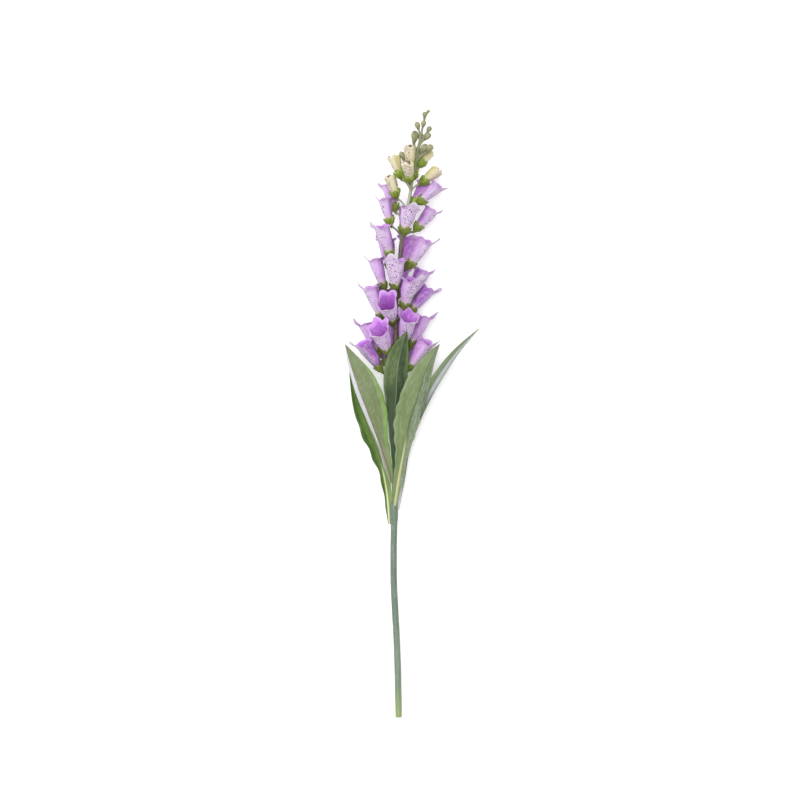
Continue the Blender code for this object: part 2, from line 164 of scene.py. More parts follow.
@dataclass(frozen=True)
class BellSize:
    """Sizes of a bell.

    Attributes:
        length: From the foot to the plane of the mouth.
        half_width: Half the breadth of the throat.
        half_depth: Half the depth of the throat, from the stem side to the lip side.
        lip: How far the lower lip reaches past the mouth.
        side_lobe: How far the two side lobes reach.
        upper_lobe: How far the two upper lobes reach.
        slant: How far the mouth rises towards the lip, in millimetres a millimetre.
        dye: Cream or lilac.
        foot: Radius of the foot.
        throat: Share of the length that lies below the rim.
        flare: How far the rim stands out where it has no lobe.
        curl: How far it stands out besides, in millimetres a millimetre of lobe.
        breadths: Half the breadth of the lip, of a side lobe and of the upper lobes, in degrees.
        roundness: How full the lobes are.
    """

    length: float
    half_width: float
    half_depth: float
    lip: float
    side_lobe: float
    upper_lobe: float
    slant: float = 0.15
    dye: Dye = Dye.LILAC

    foot = 3.4
    throat = 0.9
    flare = 1.6
    curl = 0.3
    breadths = (36, 27, 25)
    roundness = 2.5

    def lobe(self, angle: float) -> float:
        """How far the rim reaches past the throat at an angle from the lower lip."""
        off = math.degrees(abs((angle + math.pi) % math.tau - math.pi))
        lobes = zip((self.lip, self.side_lobe, self.upper_lobe), (0, 94, 150), self.breadths)
        return sum(reach * math.exp(-((abs(off - at) / half) ** self.roundness)) for reach, at, half in lobes)


BUDDING = BellSize(27, 7.0, 6.5, 4.0, 2.0, 2.0, dye=Dye.CREAM)
CREAM = BellSize(31, 8.6, 7.8, 5.0, 2.5, 2.5, dye=Dye.CREAM)
UPPER = BellSize(38, 12.5, 9.5, 12.0, 3.5, 3.5)
MIDDLE = BellSize(46, 14.5, 10.8, 14.0, 4.0, 4.0)
LOWER = BellSize(49, 15.5, 11.5, 14.0, 4.0, 4.0)
GAPING = BellSize(44, 15.0, 12.0, 3.0, 5.0, 8.0, slant=-0.45)


@dataclass(frozen=True)
class Seat:
    """Where a flower or a bud sits.

    Attributes:
        height: Height of its foot along the stem.
        bearing: Degrees round the stem.
        reach: Distance from the stem's axis to the foot.
        lean: Degrees between the flower and the stem.
    """

    height: float
    bearing: float
    reach: float
    lean: float

    def placing(self) -> Matrix:
        """A frame with Z along the flower and X away from the stalk."""
        along = AXIS.tangent(self.height)
        turn, tilt = math.radians(self.bearing), math.radians(self.lean)
        out = Vector((math.sin(turn), 0, math.cos(turn)))
        out = (out - out.dot(along) * along).normalized()
        z = math.cos(tilt) * along + math.sin(tilt) * out
        x = math.cos(tilt) * out - math.sin(tilt) * along
        placed = Matrix((x, z.cross(x), z)).transposed().to_4x4()
        placed.translation = AXIS.point(self.height) + self.reach * out
        return placed


@dataclass(frozen=True)
class Flower(Seat):
    """A bell and its size."""

    size: BellSize


# From the top of the spike down
FLOWERS = [Flower(*row) for row in (
    (855, 132, 10, 34, BUDDING), (849, -50, 8, 16, CREAM), (829, -22, 13, 36, CREAM),
    (833, -92, 19, 30, CREAM), (829, 88, 15, 42, CREAM), (802, -74, 21, 31, CREAM), (834, 180, 11, 28, CREAM),
    (799, 78, 16.5, 38, UPPER), (794, 134, 10, 28, UPPER), (781, -124, 22, 33, UPPER),
    (760, -84, 21, 25, UPPER), (750, 20, 9, 12, UPPER), (758, 104, 20, 30, UPPER), (750, 176, 11, 24, UPPER),
    (713, -66, 16, 25, MIDDLE), (692, -136, 19, 19, MIDDLE), (699, 72, 17, 28, MIDDLE),
    (697, 160, 12, 24, MIDDLE), (662, -17, 11, 18, MIDDLE), (662, -92, 20, 22, MIDDLE),
    (650, 104, 19, 26, MIDDLE), (650, 176, 13, 25, MIDDLE), (634, 50, 14, 21, MIDDLE),
    (627, 112, 22, 40, MIDDLE), (618, -78, 22, 21, LOWER), (612, -19, 14, 44, GAPING),
    (615, -142, 15, 23, MIDDLE), (578, 41, 16.4, 17, GAPING), (574, 106, 24, 24, LOWER),
    (565, -35, 20, 33, GAPING), (562, -102, 26, 23, LOWER), (566, 173, 14, 20, LOWER),
    (538, -72, 23, 35, LOWER), (540, 74, 22, 33, LOWER), (543, -147, 20.6, 24, LOWER),
    (538, 143, 20.5, 25, LOWER),
)]


@dataclass(frozen=True)
class Bud(Seat):
    """A closed bud of the tip, its length and its width."""

    length: float
    width: float


BUDS = [Bud(*row) for row in (
    (933, 60, 1, 10, 7, 5.6), (926, -60, 1.5, 8, 9, 7), (911, 0, 2.5, 5, 11, 8), (906, -90, 5, 24, 13, 8.5),
    (905, 100, 9, 10, 11, 8), (893, 75, 6, 30, 14, 9), (891, 180, 6, 22, 13, 9), (884, -88, 8, 2, 20, 12),
    (871, 50, 6, 25, 18, 10), (875, 62, 16.5, 20, 14, 11), (868, 178, 7, 22, 15, 10),
    (856, -96, 17, 26, 16, 10),
)]


def frame_shift() -> Vector:
    """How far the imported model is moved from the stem's own measures.

    Returns:
        The shift, told by the lip of a bell that faces +X and by the wire's end.
    """
    side_bell = 34
    flower = FLOWERS[side_bell - 1]
    size = flower.size
    push = size.flare + size.curl * size.lobe(0)
    tip = Vector((size.half_depth + push, 0, size.length + size.slant * size.half_depth + size.lobe(0)))
    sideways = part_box(f"bell_{side_bell}")[1].x / MM - (flower.placing() @ tip).x
    return Vector((sideways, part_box("core_wire")[0].y / MM, 0))


SHIFT = frame_shift()


@dataclass
class Sheet:
    """A grid that is bent into shape by a rule.

    Attributes:
        around: Cells across the grid.
        along: Cells up the grid.
        place: Gives a point in millimetres for u from -1 to 1 and v from 0 to 1.
        cloth: Width and height in millimetres that the pattern coordinates cover.
        rolled: Whether the two sides of the grid meet.
        tone: A value from 0 to 1 that the whole sheet carries into its colours.
        capped: Whether the open ends of a rolled sheet are closed.
        seed: Moves the pattern.
    """

    around: int
    along: int
    place: Place
    cloth: tuple[float, float] = (10.0, 10.0)
    rolled: bool = True
    tone: float = 0.5
    capped: tuple[bool, bool] = (True, True)
    seed: int = 0

    def build(self) -> bmesh.types.BMesh:
        """Bends the grid and gives it its pattern coordinates and the values u, v and tone.

        Returns:
            A bmesh in millimetres, in the stem's own measures.
        """
        bm = bmesh.new()
        uv = bm.loops.layers.uv.new("cloth")
        across, rise, tone = (bm.verts.layers.float.new(name) for name in ("across", "rise", "tone"))
        bmesh.ops.create_grid(bm, x_segments=self.around, y_segments=self.along, size=1)
        drift = random.Random(self.seed)
        start = (drift.uniform(0, 90), drift.uniform(0, 90))
        for face in bm.faces:
            for loop in face.loops:
                u, v = loop.vert.co.x, (loop.vert.co.y + 1) / 2
                loop[uv].uv = (start[0] + u * self.cloth[0] / 2, start[1] + v * self.cloth[1])
        for vert in bm.verts:
            u, v = vert.co.x, (vert.co.y + 1) / 2
            vert[across], vert[rise], vert[tone] = (abs(u) if self.rolled else u), v, self.tone
            vert.co = self.place(u, v)
        if self.rolled:
            bmesh.ops.remove_doubles(bm, verts=bm.verts[:], dist=1e-5)
            self.close_ends(bm, rise)
        bm.normal_update()
        return bm

    def close_ends(self, bm: bmesh.types.BMesh, rise: bmesh.types.BMLayerItem) -> None:
        """Fills the first and last rings where they are capped."""
        for end, capped in zip((0.0, 1.0), self.capped):
            ring = [e for e in bm.edges if e.is_boundary and all(abs(v[rise] - end) < 1e-6 for v in e.verts)]
            if capped and ring:
                bmesh.ops.contextual_create(bm, geom=ring)


def face_outwards(bm: bmesh.types.BMesh, placed: Matrix) -> None:
    """Turns all faces over if most of them look towards the Z axis of a flower's frame."""
    foot, along = placed.translation, placed.to_3x3() @ Vector((0, 0, 1))
    looks = 0.0
    for face in bm.faces:
        middle = face.calc_center_median()
        centre = foot + along * (middle - foot).dot(along)
        looks += face.normal.dot(middle - centre) * face.calc_area()
    if looks < 0:
        bmesh.ops.reverse_faces(bm, faces=bm.faces[:])


@dataclass
class Piece:
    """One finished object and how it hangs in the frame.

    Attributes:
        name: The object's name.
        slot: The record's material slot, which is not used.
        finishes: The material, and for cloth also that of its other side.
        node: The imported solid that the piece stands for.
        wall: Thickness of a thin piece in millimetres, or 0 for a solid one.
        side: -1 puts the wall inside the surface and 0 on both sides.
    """

    name: str
    slot: Slot
    finishes: list[bpy.types.Material]
    node: str
    wall: float = 0.0
    side: float = 0.0

    def finish(self, sheets: list[bmesh.types.BMesh]) -> bpy.types.Object:
        """Joins sheets in one object at the origin, in metres.

        Args:
            sheets: Meshes in millimetres, which are freed.

        Returns:
            The object, riding on the frame.
        """
        mesh = bpy.data.meshes.new(self.name)
        whole = bmesh.new()
        for bm in sheets:
            for vert in bm.verts:
                vert.co = (vert.co + SHIFT) * MM
            bm.normal_update()
            part = bpy.data.meshes.new("part")
            bm.to_mesh(part)
            bm.free()
            whole.from_mesh(part)
            bpy.data.meshes.remove(part)
        whole.to_mesh(mesh)
        whole.free()
        mesh.shade_smooth()
        for finish in self.finishes:
            mesh.materials.append(finish)
        piece = bpy.data.objects.new(self.name, mesh)
        bpy.context.scene.collection.objects.link(piece)
        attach(piece, "root")
        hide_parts(self.node)
        if self.wall:
            skin = piece.modifiers.new("wall", "SOLIDIFY")
            skin.thickness = self.wall * MM
            skin.offset = self.side
            skin.material_offset = len(self.finishes) - 1
        LOG.info("%s: %d faces", self.name, len(mesh.polygons))
        return piece


class Painter:
    """Lays out the nodes of one material or group."""

    def __init__(self, tree: bpy.types.NodeTree) -> None:
        """Starts on a node tree."""
        self.tree = tree

    def node(self, kind: str, **settings: object) -> bpy.types.Node:
        """Adds a shader node and sets its properties."""
        made = self.tree.nodes.new(f"ShaderNode{kind}")
        for name, value in settings.items():
            setattr(made, name, value)
        return made

    def feed(self, socket: Socket, value: object) -> None:
        """Links a socket to another, or sets its value."""
        if isinstance(value, Socket):
            self.tree.links.new(value, socket)
        else:
            socket.default_value = value

    def feed_all(self, made: bpy.types.Node, **given: object) -> None:
        """Feeds a node's sockets by their names, with an underscore for each space."""
        for name, value in given.items():
            self.feed(made.inputs[name.replace("_", " ")], value)

    def value(self, name: str) -> Socket:
        """A number that the mesh carries."""
        return self.node("Attribute", attribute_name=name).outputs["Fac"]

    def cloth(self) -> Socket:
        """The pattern coordinates in millimetres."""
        return self.node("UVMap", uv_map="cloth").outputs["UV"]

    def place(self) -> Socket:
        """Object coordinates in metres."""
        return self.node("TexCoord").outputs["Object"]

    def coordinate(self, vector: Socket, axis: int) -> Socket:
        """One coordinate of a vector."""
        made = self.node("SeparateXYZ")
        self.feed(made.inputs[0], vector)
        return made.outputs[axis]

    def maths(self, operation: str, *values: object) -> Socket:
        """One sum on one to three values."""
        made = self.node("Math", operation=operation)
        for socket, value in zip(made.inputs, values):
            self.feed(socket, value)
        return made.outputs[0]

    def times(self, first: object, second: object) -> Socket:
        """A product."""
        return self.maths("MULTIPLY", first, second)

    def linear(self, value: object, factor: object, added: object) -> Socket:
        """A value times a factor, with something added."""
        return self.maths("MULTIPLY_ADD", value, factor, added)

    def step(self, value: object, low: float, high: float) -> Socket:
        """0 below low and 1 above high, or the other way round where low is above high."""
        made = self.node("MapRange", interpolation_type="SMOOTHSTEP")
        start, end = (1.0, 0.0) if low > high else (0.0, 1.0)
        low, high = min(low, high), max(low, high)
        self.feed_all(made, Value=value, From_Min=low, From_Max=high, To_Min=start, To_Max=end)
        return made.outputs["Result"]

    def mix(self, share: object, first: Paint, second: Paint) -> Socket:
        """A colour between two colours."""
        made = self.node("Mix", data_type="RGBA")
        self.feed(made.inputs[0], share)
        for index, colour in ((6, first), (7, second)):
            self.feed(made.inputs[index], colour if isinstance(colour, Socket) else seen(*colour))
        return made.outputs[2]

    def coats(self, body: Paint, *layers: tuple) -> Paint:
        """Lays colours over one another.

        Args:
            body: The colour below.
            layers: For each coat the value that it follows, where it starts and where it is full, its
                strength and its colour.

        Returns:
            The colour with its coats.
        """
        for value, low, high, strength, colour in layers:
            body = self.mix(self.times(self.step(value, low, high), strength), body, colour)
        return body

    def stretch(self, vector: Socket, across: float, along: float) -> Socket:
        """A vector scaled along its first two axes."""
        made = self.node("Mapping")
        self.feed_all(made, Vector=vector, Scale=(across, along, 1.0))
        return made.outputs["Vector"]

    def noise(self, vector: Socket, scale: float, detail: float = 2.0, distortion: float = 0.0) -> Socket:
        """Soft noise from 0 to 1."""
        made = self.node("TexNoise")
        self.feed_all(made, Vector=vector, Scale=scale, Detail=detail, Distortion=distortion)
        return made.outputs["Fac"]

    def bump(self, height: Socket, distance: float, strength: float, below: Socket | None = None) -> Socket:
        """A normal that follows a height in metres, over another normal where one is given."""
        made = self.node("Bump")
        self.feed_all(made, Height=height, Distance=distance, Strength=strength)
        if below is not None:
            self.feed_all(made, Normal=below)
        return made.outputs["Normal"]

    def group(self, tree: bpy.types.NodeTree, **given: object) -> bpy.types.Node:
        """Places a shared group with its own values."""
        made = self.node("Group", node_tree=tree)
        self.feed_all(made, **given)
        return made


class Finish(Painter):
    """A new Principled material and its painter."""

    def __init__(self, name: str, **settings: object) -> None:
        """Starts a material, with values for the shader's sockets."""
        self.material = bpy.data.materials.new(name)
        self.material.use_nodes = True
        super().__init__(self.material.node_tree)
        self.shader = self.tree.nodes["Principled BSDF"]
        self.feed_all(self.shader, **settings)

    def done(self, colour: Socket, roughness: object, normal: Socket | None = None) -> bpy.types.Material:
        """Feeds the shader and hands the material over."""
        self.feed_all(self.shader, Base_Color=colour, Roughness=roughness)
        if normal is not None:
            self.feed_all(self.shader, Normal=normal)
        return self.material


class SharedGroups:
    """The effects that more than one finish uses, each built once."""

    def __init__(self) -> None:
        """Builds the groups."""
        self.weave = self.make_weave()
        self.freckles = self.make_freckles()

    @staticmethod
    def open_group(name: str, inputs: dict[str, str],
                   outputs: tuple[str, ...]) -> tuple[Painter, Sockets, Sockets]:
        """A new group with its sockets.

        Args:
            name: The group's name.
            inputs: Names and kinds of the sockets that go in.
            outputs: Names of the numbers that come out.

        Returns:
            The group's painter, what goes in and what comes out.
        """
        tree = bpy.data.node_groups.new(name, "ShaderNodeTree")
        for sockets, way in ((inputs, "INPUT"), (dict.fromkeys(outputs, "Float"), "OUTPUT")):
            for label, kind in sockets.items():
                tree.interface.new_socket(name=label, in_out=way, socket_type=f"NodeSocket{kind}")
        given = tree.nodes.new("NodeGroupInput").outputs
        return Painter(tree), given, tree.nodes.new("NodeGroupOutput").inputs

    def make_weave(self) -> bpy.types.NodeTree:
        """Fine plain-woven threads, from pattern coordinates in millimetres."""
        paint, given, out = self.open_group(
            "cloth weave", {"Vector": "Vector", "Pitch": "Float"}, ("Height",))
        cloth, turns = given["Vector"], paint.maths("DIVIDE", math.tau, given["Pitch"])
        waves = [paint.maths("SINE", paint.times(paint.coordinate(cloth, side), turns)) for side in (0, 1)]
        fuzz = paint.noise(cloth, 1.6, 3.0)
        paint.feed(out["Height"], paint.linear(paint.times(*waves), 0.35, fuzz))
        return paint.tree

    def make_freckles(self) -> bpy.types.NodeTree:
        """Dark freckles with pale halos, from pattern coordinates in millimetres and a zone from 0 to 1."""
        paint, given, out = self.open_group(
            "freckles", {"Vector": "Vector", "Zone": "Float", "Pitch": "Float"}, ("Spot", "Halo"))
        wander = paint.noise(given["Vector"], 0.5, 2.0)
        shift = paint.node("CombineXYZ")
        paint.feed_all(shift, X=paint.times(wander, 1.6), Y=paint.times(wander, -1.2))
        moved = paint.node("VectorMath", operation="ADD")
        for socket, value in zip(moved.inputs, (given["Vector"], shift.outputs[0])):
            paint.feed(socket, value)
        cells = paint.node("TexVoronoi", voronoi_dimensions="2D", feature="F1")
        paint.feed_all(cells, Vector=paint.stretch(moved.outputs[0], 1.0, 0.78),
                       Scale=paint.maths("DIVIDE", 1.0, given["Pitch"]), Randomness=0.85)
        chance = paint.node("SeparateColor")
        paint.feed(chance.inputs[0], cells.outputs["Color"])
        crowd = paint.linear(paint.noise(given["Vector"], 0.16, 1.0), 1.6, -0.1)
        shown = paint.maths("LESS_THAN", chance.outputs[1], paint.times(given["Zone"], crowd))
        size = paint.linear(paint.maths("POWER", chance.outputs[0], 2.0), 0.24, 0.13)
        inside = paint.maths("SUBTRACT", size, cells.outputs["Distance"])
        for label, start, full in (("Spot", -0.03, 0.05), ("Halo", -0.26, -0.06)):
            paint.feed(out[label], paint.times(paint.step(inside, start, full), shown))
        return paint.tree


GROUPS = SharedGroups()


@dataclass(frozen=True)
class BellCloth:
    """The dyed cloth of the bells.

    Attributes:
        name: The finish's name.
        foot: Colour at the calyx; on a lining, painted shade deep in its throat.
        back: Colour of the side that faces the stalk.
        flank: Colour of the sides.
        pale: What the sides turn to on the highest bells.
        lip: Colour of the lip side.
        rim: Colour of the rim.
        deep: What the back turns to on the lowest bells: a deeper dye with painted shade in it.
        spot: Colour of the freckles.
        pitch: Distance between freckles in millimetres.
        crowd: Share of the freckles that show on the lip.
        lining: Whether this is the inside of a bell.
    """

    name: str
    foot: Rgb
    back: Rgb
    flank: Rgb
    pale: Rgb
    lip: Rgb
    rim: Rgb
    deep: Rgb
    spot: Rgb
    pitch: float = 2.8
    crowd: float = 1.5
    lining: bool = False

    def make(self) -> bpy.types.Material:
        """Builds the material."""
        paint = Finish(self.name, Sheen_Weight=0.12, Specular_IOR_Level=0.35)
        off, rise, tone = (paint.value(name) for name in ("across", "rise", "tone"))
        cloth = paint.cloth()
        streaks = paint.noise(paint.stretch(cloth, 0.42, 0.03), 1.0, 3.0)
        patches = paint.noise(cloth, 0.07, 2.0)
        mottle = paint.noise(paint.stretch(cloth, 1.0, 0.45), 0.3, 4.0)
        wavy_off = paint.maths("ADD", off, paint.linear(streaks, 0.24, -0.12))
        # The lower a bell, the more its back turns to the deep colour, a deeper dye with painted shade in it;
        # on the deepest-dyed bells the flanks do too.
        flank = paint.coats(self.flank, (tone, 0.82, 0.9, 0.85, self.deep))
        body = paint.mix(paint.step(wavy_off, 0.45, 0.9), paint.mix(tone, self.pale, flank),
                         paint.mix(tone, self.back, self.deep))
        # The deep colour in the streaks' low values is painted shade in the creases that the same streaks
        # press in.
        body = paint.coats(
            body, (wavy_off, 0.5, 0.16, paint.linear(tone, -0.3, 1.0), self.lip),
            (streaks, 0.5, 0.72, 0.35, self.lip), (streaks, 0.5, 0.28, 0.3, self.deep),
            (mottle, 0.42, 0.75, 0.45, self.rim), (mottle, 0.46, 0.3, 0.22, self.deep),
            (patches, 0.45, 0.75, 0.3, self.rim), (rise, 0.8, 1.0, 0.45, self.rim),
            (off, 0.16, 0.04, paint.times(paint.step(rise, 0.84, 0.98), 0.7), LIP_TIP))
        # A lining darkens towards its foot: painted shade deep in the throat.
        if self.lining:
            body = paint.coats(body, (rise, 0.72, 0.3, 1.0, self.foot))
        else:
            # Painted shade on the deepest-dyed bells: dark veined streaks over the lower part, and a dark
            # foot.
            in_shade = paint.step(tone, 0.92, 0.98)
            shade_veins = paint.noise(paint.stretch(cloth, 0.13, 0.045), 1.0, 4.0, 0.5)
            veined = paint.times(paint.step(rise, 0.84, 0.5), paint.times(in_shade, 0.6))
            body = paint.coats(body, (shade_veins, 0.56, 0.42, veined, LOW_BELL_SHADE),
                               (rise, 0.34, 0.02, 1.0, paint.mix(in_shade, self.foot, LOW_BELL_SHADE)))
        middle = paint.times(paint.step(rise, 0.16, 0.34), paint.step(rise, 0.94, 0.8))
        zone = paint.times(paint.times(paint.step(off, 0.42, 0.16), middle), self.crowd)
        for pitch, halo, depth in ((self.pitch, 0.4, 0.9), (self.pitch * 0.6, 0.0, 0.45)):
            freckles = paint.group(GROUPS.freckles, Vector=cloth, Zone=zone, Pitch=pitch).outputs
            body = paint.mix(paint.times(freckles["Halo"], halo), body, self.lip)
            body = paint.mix(paint.times(freckles["Spot"], depth), body, self.spot)
        weave = paint.group(GROUPS.weave, Vector=cloth, Pitch=0.55).outputs["Height"]
        creased = paint.bump(weave, 0.00006, 0.5, paint.bump(streaks, 0.0007, 0.5))
        return paint.done(body, paint.linear(patches, 0.2, 0.5), creased)


@dataclass(frozen=True)
class HalfBlade:
    """The colours of one half of a leaf.

    Attributes:
        body: Main colour.
        shade: Colour of the darker streaks.
        light: Colour of the lighter streaks and the side veins.
        edge: Colour of the strip along the margin.
        strip: Share of the half that the strip takes at the tip.
        growth: How much of the half the strip gains towards the foot.
        glint: How strongly the lighter streaks show.
    """

    body: Rgb
    shade: Rgb
    light: Rgb
    edge: Rgb
    strip: float = 0.1
    growth: float = 0.0
    glint: float = 0.3


@dataclass(frozen=True)
class LeafCloth:
    """The printed and veined cloth of one side of a leaf.

    Attributes:
        name: The finish's name.
        left: The left half as seen from above.
        right: The right half.
        rib: Colour of the midrib's foot.
        rib_line: Colour of the midrib further up.
        rib_top: Share of the length where the midrib's foot has changed to the line.
        rib_width: Half the midrib's width at its foot, as a share of the half blade.
        rib_shade: How strongly the line on the midrib's right shows.
        split: Where across the blade the halves' colours meet.
        low: Colour over the foot: painted shade on the dark leaf, the folded-back underside's colour on the
            folded leaf.
        low_top: Share of the length where that colour ends, or 0 for none.
        vein_pitch: Distance between side veins in millimetres.
    """

    name: str
    left: HalfBlade
    right: HalfBlade
    rib: Rgb
    rib_line: Rgb
    rib_top: float = 0.4
    rib_width: float = 0.1
    rib_shade: float = 0.5
    split: float = 0.0
    low: Rgb = (0, 0, 0)
    low_top: float = 0.0
    vein_pitch: float = 9.0

    def make(self) -> bpy.types.Material:
        """Builds the material."""
        paint = Finish(self.name, Sheen_Weight=0.08)
        across, rise, cloth = paint.value("across"), paint.value("rise"), paint.cloth()
        off = paint.maths("ABSOLUTE", across)
        wander = paint.linear(paint.noise(cloth, 0.06, 2.0), 5.0, -2.5)
        climb = paint.maths("ADD", paint.linear(off, -30.0, paint.coordinate(cloth, 1)), wander)
        beat = paint.maths("FRACT", paint.maths("DIVIDE", climb, self.vein_pitch))
        beat = paint.maths("ABSOLUTE", paint.maths("SUBTRACT", beat, 0.5))
        veins = paint.times(paint.step(beat, 0.08, 0.015), paint.step(off, 0.97, 0.8))
        grain = paint.noise(paint.stretch(cloth, 1.2, 0.16), 0.6, 5.0)
        fine = paint.noise(cloth, 1.1, 4.0)
        clouds = paint.noise(paint.stretch(cloth, 1.0, 0.5), 0.16, 3.0, 0.8)
        broad = paint.noise(paint.stretch(cloth, 0.22, 0.022), 1.0, 3.0, 0.6)
        streak = paint.noise(paint.stretch(cloth, 0.6, 0.03), 1.0, 2.0, 0.4)
        lower = paint.maths("POWER", paint.maths("SUBTRACT", 1.0, rise), 1.5)
        halves = []
        for half in (self.left, self.right):
            body = paint.coats(
                half.body, (broad, 0.42, 0.62, 1.0, half.shade), (grain, 0.42, 0.62, 0.6, half.shade),
                (grain, 0.46, 0.28, half.glint, half.light), (streak, 0.53, 0.64, half.glint, half.light),
                (fine, 0.42, 0.66, 0.35, half.light), (clouds, 0.52, 0.34, 0.5, half.shade),
                (clouds, 0.52, 0.7, 0.4, half.light))
            body = paint.mix(paint.times(veins, 0.32), body, half.light)
            # Over the foot: painted shade on the dark leaf, the folded-back underside's colour on the folded
            # leaf.
            if self.low_top:
                height = paint.linear(broad, 0.16, rise)
                body = paint.coats(body, (height, self.low_top + 0.1, self.low_top - 0.02, 0.92, self.low))
            ragged = paint.linear(lower, half.growth, paint.linear(grain, 0.1, off))
            start = 1.05 - half.strip
            inner = paint.maths("SUBTRACT", paint.step(ragged, start - 0.06, start - 0.03),
                                paint.step(ragged, start, start + 0.03))
            body = paint.mix(paint.times(inner, 0.5), body, half.light)
            halves.append(paint.coats(body, (ragged, start - 0.01, start + 0.03, 0.9, half.edge)))
        border = paint.linear(grain, 0.12, across)
        body = paint.mix(paint.step(border, self.split + 0.04, self.split + 0.08), *halves)
        taper = paint.maths("POWER", paint.maths("SUBTRACT", 1.0, rise), 4.0)
        half_rib = paint.linear(taper, self.rib_width, 0.025)
        rib = paint.step(paint.maths("SUBTRACT", half_rib, off), -0.01, 0.02)
        rib_colour = paint.coats(self.rib, (rise, 0.7 * self.rib_top, self.rib_top, 1.0, self.rib_line))
        body = paint.mix(paint.times(rib, paint.linear(rise, -0.4, 1.0)), body, rib_colour)
        # A line in the rib_line colour on the midrib's right; where that colour is dark it is painted shadow
        # of the raised midrib.
        beside = paint.maths("SUBTRACT", across, half_rib)
        line = paint.times(paint.step(beside, -0.02, 0.0), paint.step(beside, 0.06, 0.03))
        body = paint.mix(paint.times(line, self.rib_shade), body, self.rib_line)
        weave = paint.group(GROUPS.weave, Vector=cloth, Pitch=0.5).outputs["Height"]
        grained = paint.bump(grain, 0.0004, 0.4, paint.bump(weave, 0.00008, 0.5))
        relief = paint.bump(paint.maths("MAXIMUM", veins, rib), 0.0004, 0.5, grained)
        return paint.done(body, paint.linear(grain, 0.25, 0.34), relief)


@dataclass(frozen=True)
class MouldedPlastic:
    """Moulded green plastic whose colour changes along the stem.

    Attributes:
        name: The finish's name.
        colours: Height above the cut end in millimetres and colour, from low to high.
        mottle: Colour of the powdery mottling.
        share: How strongly the mottling shows.
        roughness: The shader's mean roughness.
    """

    name: str
    colours: tuple[tuple[float, Rgb], ...]
    mottle: Rgb
    share: float = 0.4
    roughness: float = 0.5

    def make(self) -> bpy.types.Material:
        """Builds the material."""
        paint = Finish(self.name)
        place = paint.place()
        height = paint.linear(paint.coordinate(place, 1), 1 / MM, -SHIFT.y)
        height = paint.linear(paint.noise(place, 60.0, 3.0), 40.0, height)
        speckle = paint.noise(paint.stretch(place, 1.0, 0.35), 900.0, 3.0)
        cloudy = paint.noise(paint.stretch(place, 1.0, 0.3), 160.0, 2.0)
        changes = [(height, low + 20, high + 20, 1.0, colour)
                   for (low, _), (high, colour) in zip(self.colours, self.colours[1:])]
        body = paint.coats(self.colours[0][1], *changes, (speckle, 0.46, 0.66, self.share, self.mottle),
                           (cloudy, 0.45, 0.7, self.share, self.mottle))
        grooves = paint.noise(paint.stretch(place, 1.0, 0.08), 500.0, 2.0)
        bumps = paint.bump(grooves, 0.0004, 0.5, paint.bump(speckle, 0.0002, 0.35))
        return paint.done(body, paint.linear(cloudy, 0.3, self.roughness - 0.15), bumps)


@dataclass(frozen=True)
class SproutPlastic:
    """Fresh green plastic of calyces and buds, shaded from foot to tip.

    Attributes:
        name: The finish's name.
        foot: Colour at the foot.
        tip: Colour at the tip.
        other: Colour that single pieces lean to, by their tone.
        crease: Colour in the creases, painted shade.
    """

    name: str
    foot: Rgb
    tip: Rgb
    other: Rgb
    crease: Rgb

    def make(self) -> bpy.types.Material:
        """Builds the material."""
        paint = Finish(self.name)
        cloth = paint.cloth()
        veins = paint.noise(paint.stretch(cloth, 1.1, 0.12), 1.0, 3.0)
        clouds = paint.noise(cloth, 0.25, 2.0)
        body = paint.coats(self.foot, (paint.value("rise"), 0.1, 0.9, 1.0, self.tip))
        body = paint.mix(paint.value("tone"), body, self.other)
        # Painted shade in the creases.
        body = paint.coats(body, (veins, 0.42, 0.66, 0.7, self.crease))
        body = paint.mix(paint.times(clouds, 0.35), body, self.tip)
        return paint.done(body, paint.linear(clouds, 0.25, 0.36), paint.bump(veins, 0.0006, 0.6))


# Colours that all bells share: the lip's edge, and the painted shade over the lower part of the deepest-dyed
# bells
LIP_TIP = (228, 224, 230)
LOW_BELL_SHADE = (96, 84, 74)

LILAC_OUT = BellCloth(
    "lilac bell cloth", foot=(226, 214, 202), back=(186, 110, 206), flank=(204, 144, 220),
    pale=(212, 184, 224), lip=(228, 206, 234), rim=(228, 200, 238), deep=(154, 68, 188), spot=(66, 38, 88))
LILAC_IN = BellCloth(
    "lilac bell lining", foot=(164, 80, 186), back=(202, 118, 228), flank=(202, 116, 228),
    pale=(204, 148, 222), lip=(216, 176, 230), rim=(228, 198, 240), deep=(186, 90, 216), spot=(84, 50, 104),
    lining=True)
CREAM_OUT = BellCloth(
    "cream bell cloth", foot=(222, 218, 160), back=(206, 200, 124), flank=(222, 216, 176),
    pale=(222, 216, 168), lip=(226, 215, 186), rim=(226, 204, 206), deep=(192, 188, 92), spot=(96, 82, 84),
    pitch=2.5, crowd=2.0)
CREAM_IN = BellCloth(
    "cream bell lining", foot=(176, 166, 90), back=(214, 206, 140), flank=(222, 216, 176),
    pale=(224, 218, 180), lip=(226, 212, 200), rim=(228, 206, 214), deep=(200, 192, 112), spot=(96, 82, 84),
    pitch=2.5, crowd=2.0, lining=True)
STEM_PLASTIC = MouldedPlastic(
    "stem plastic",
    ((0, (146, 168, 94)), (60, (118, 140, 116)), (200, (102, 122, 104)), (330, (104, 124, 104))),
    mottle=(150, 166, 152), roughness=0.55)
STALK_PLASTIC = MouldedPlastic(
    "stalk plastic",
    ((300, (116, 132, 92)), (480, (88, 80, 56)), (730, (100, 82, 66)), (785, (176, 184, 160)),
     (850, (138, 146, 104))), mottle=(160, 160, 136), share=0.3)
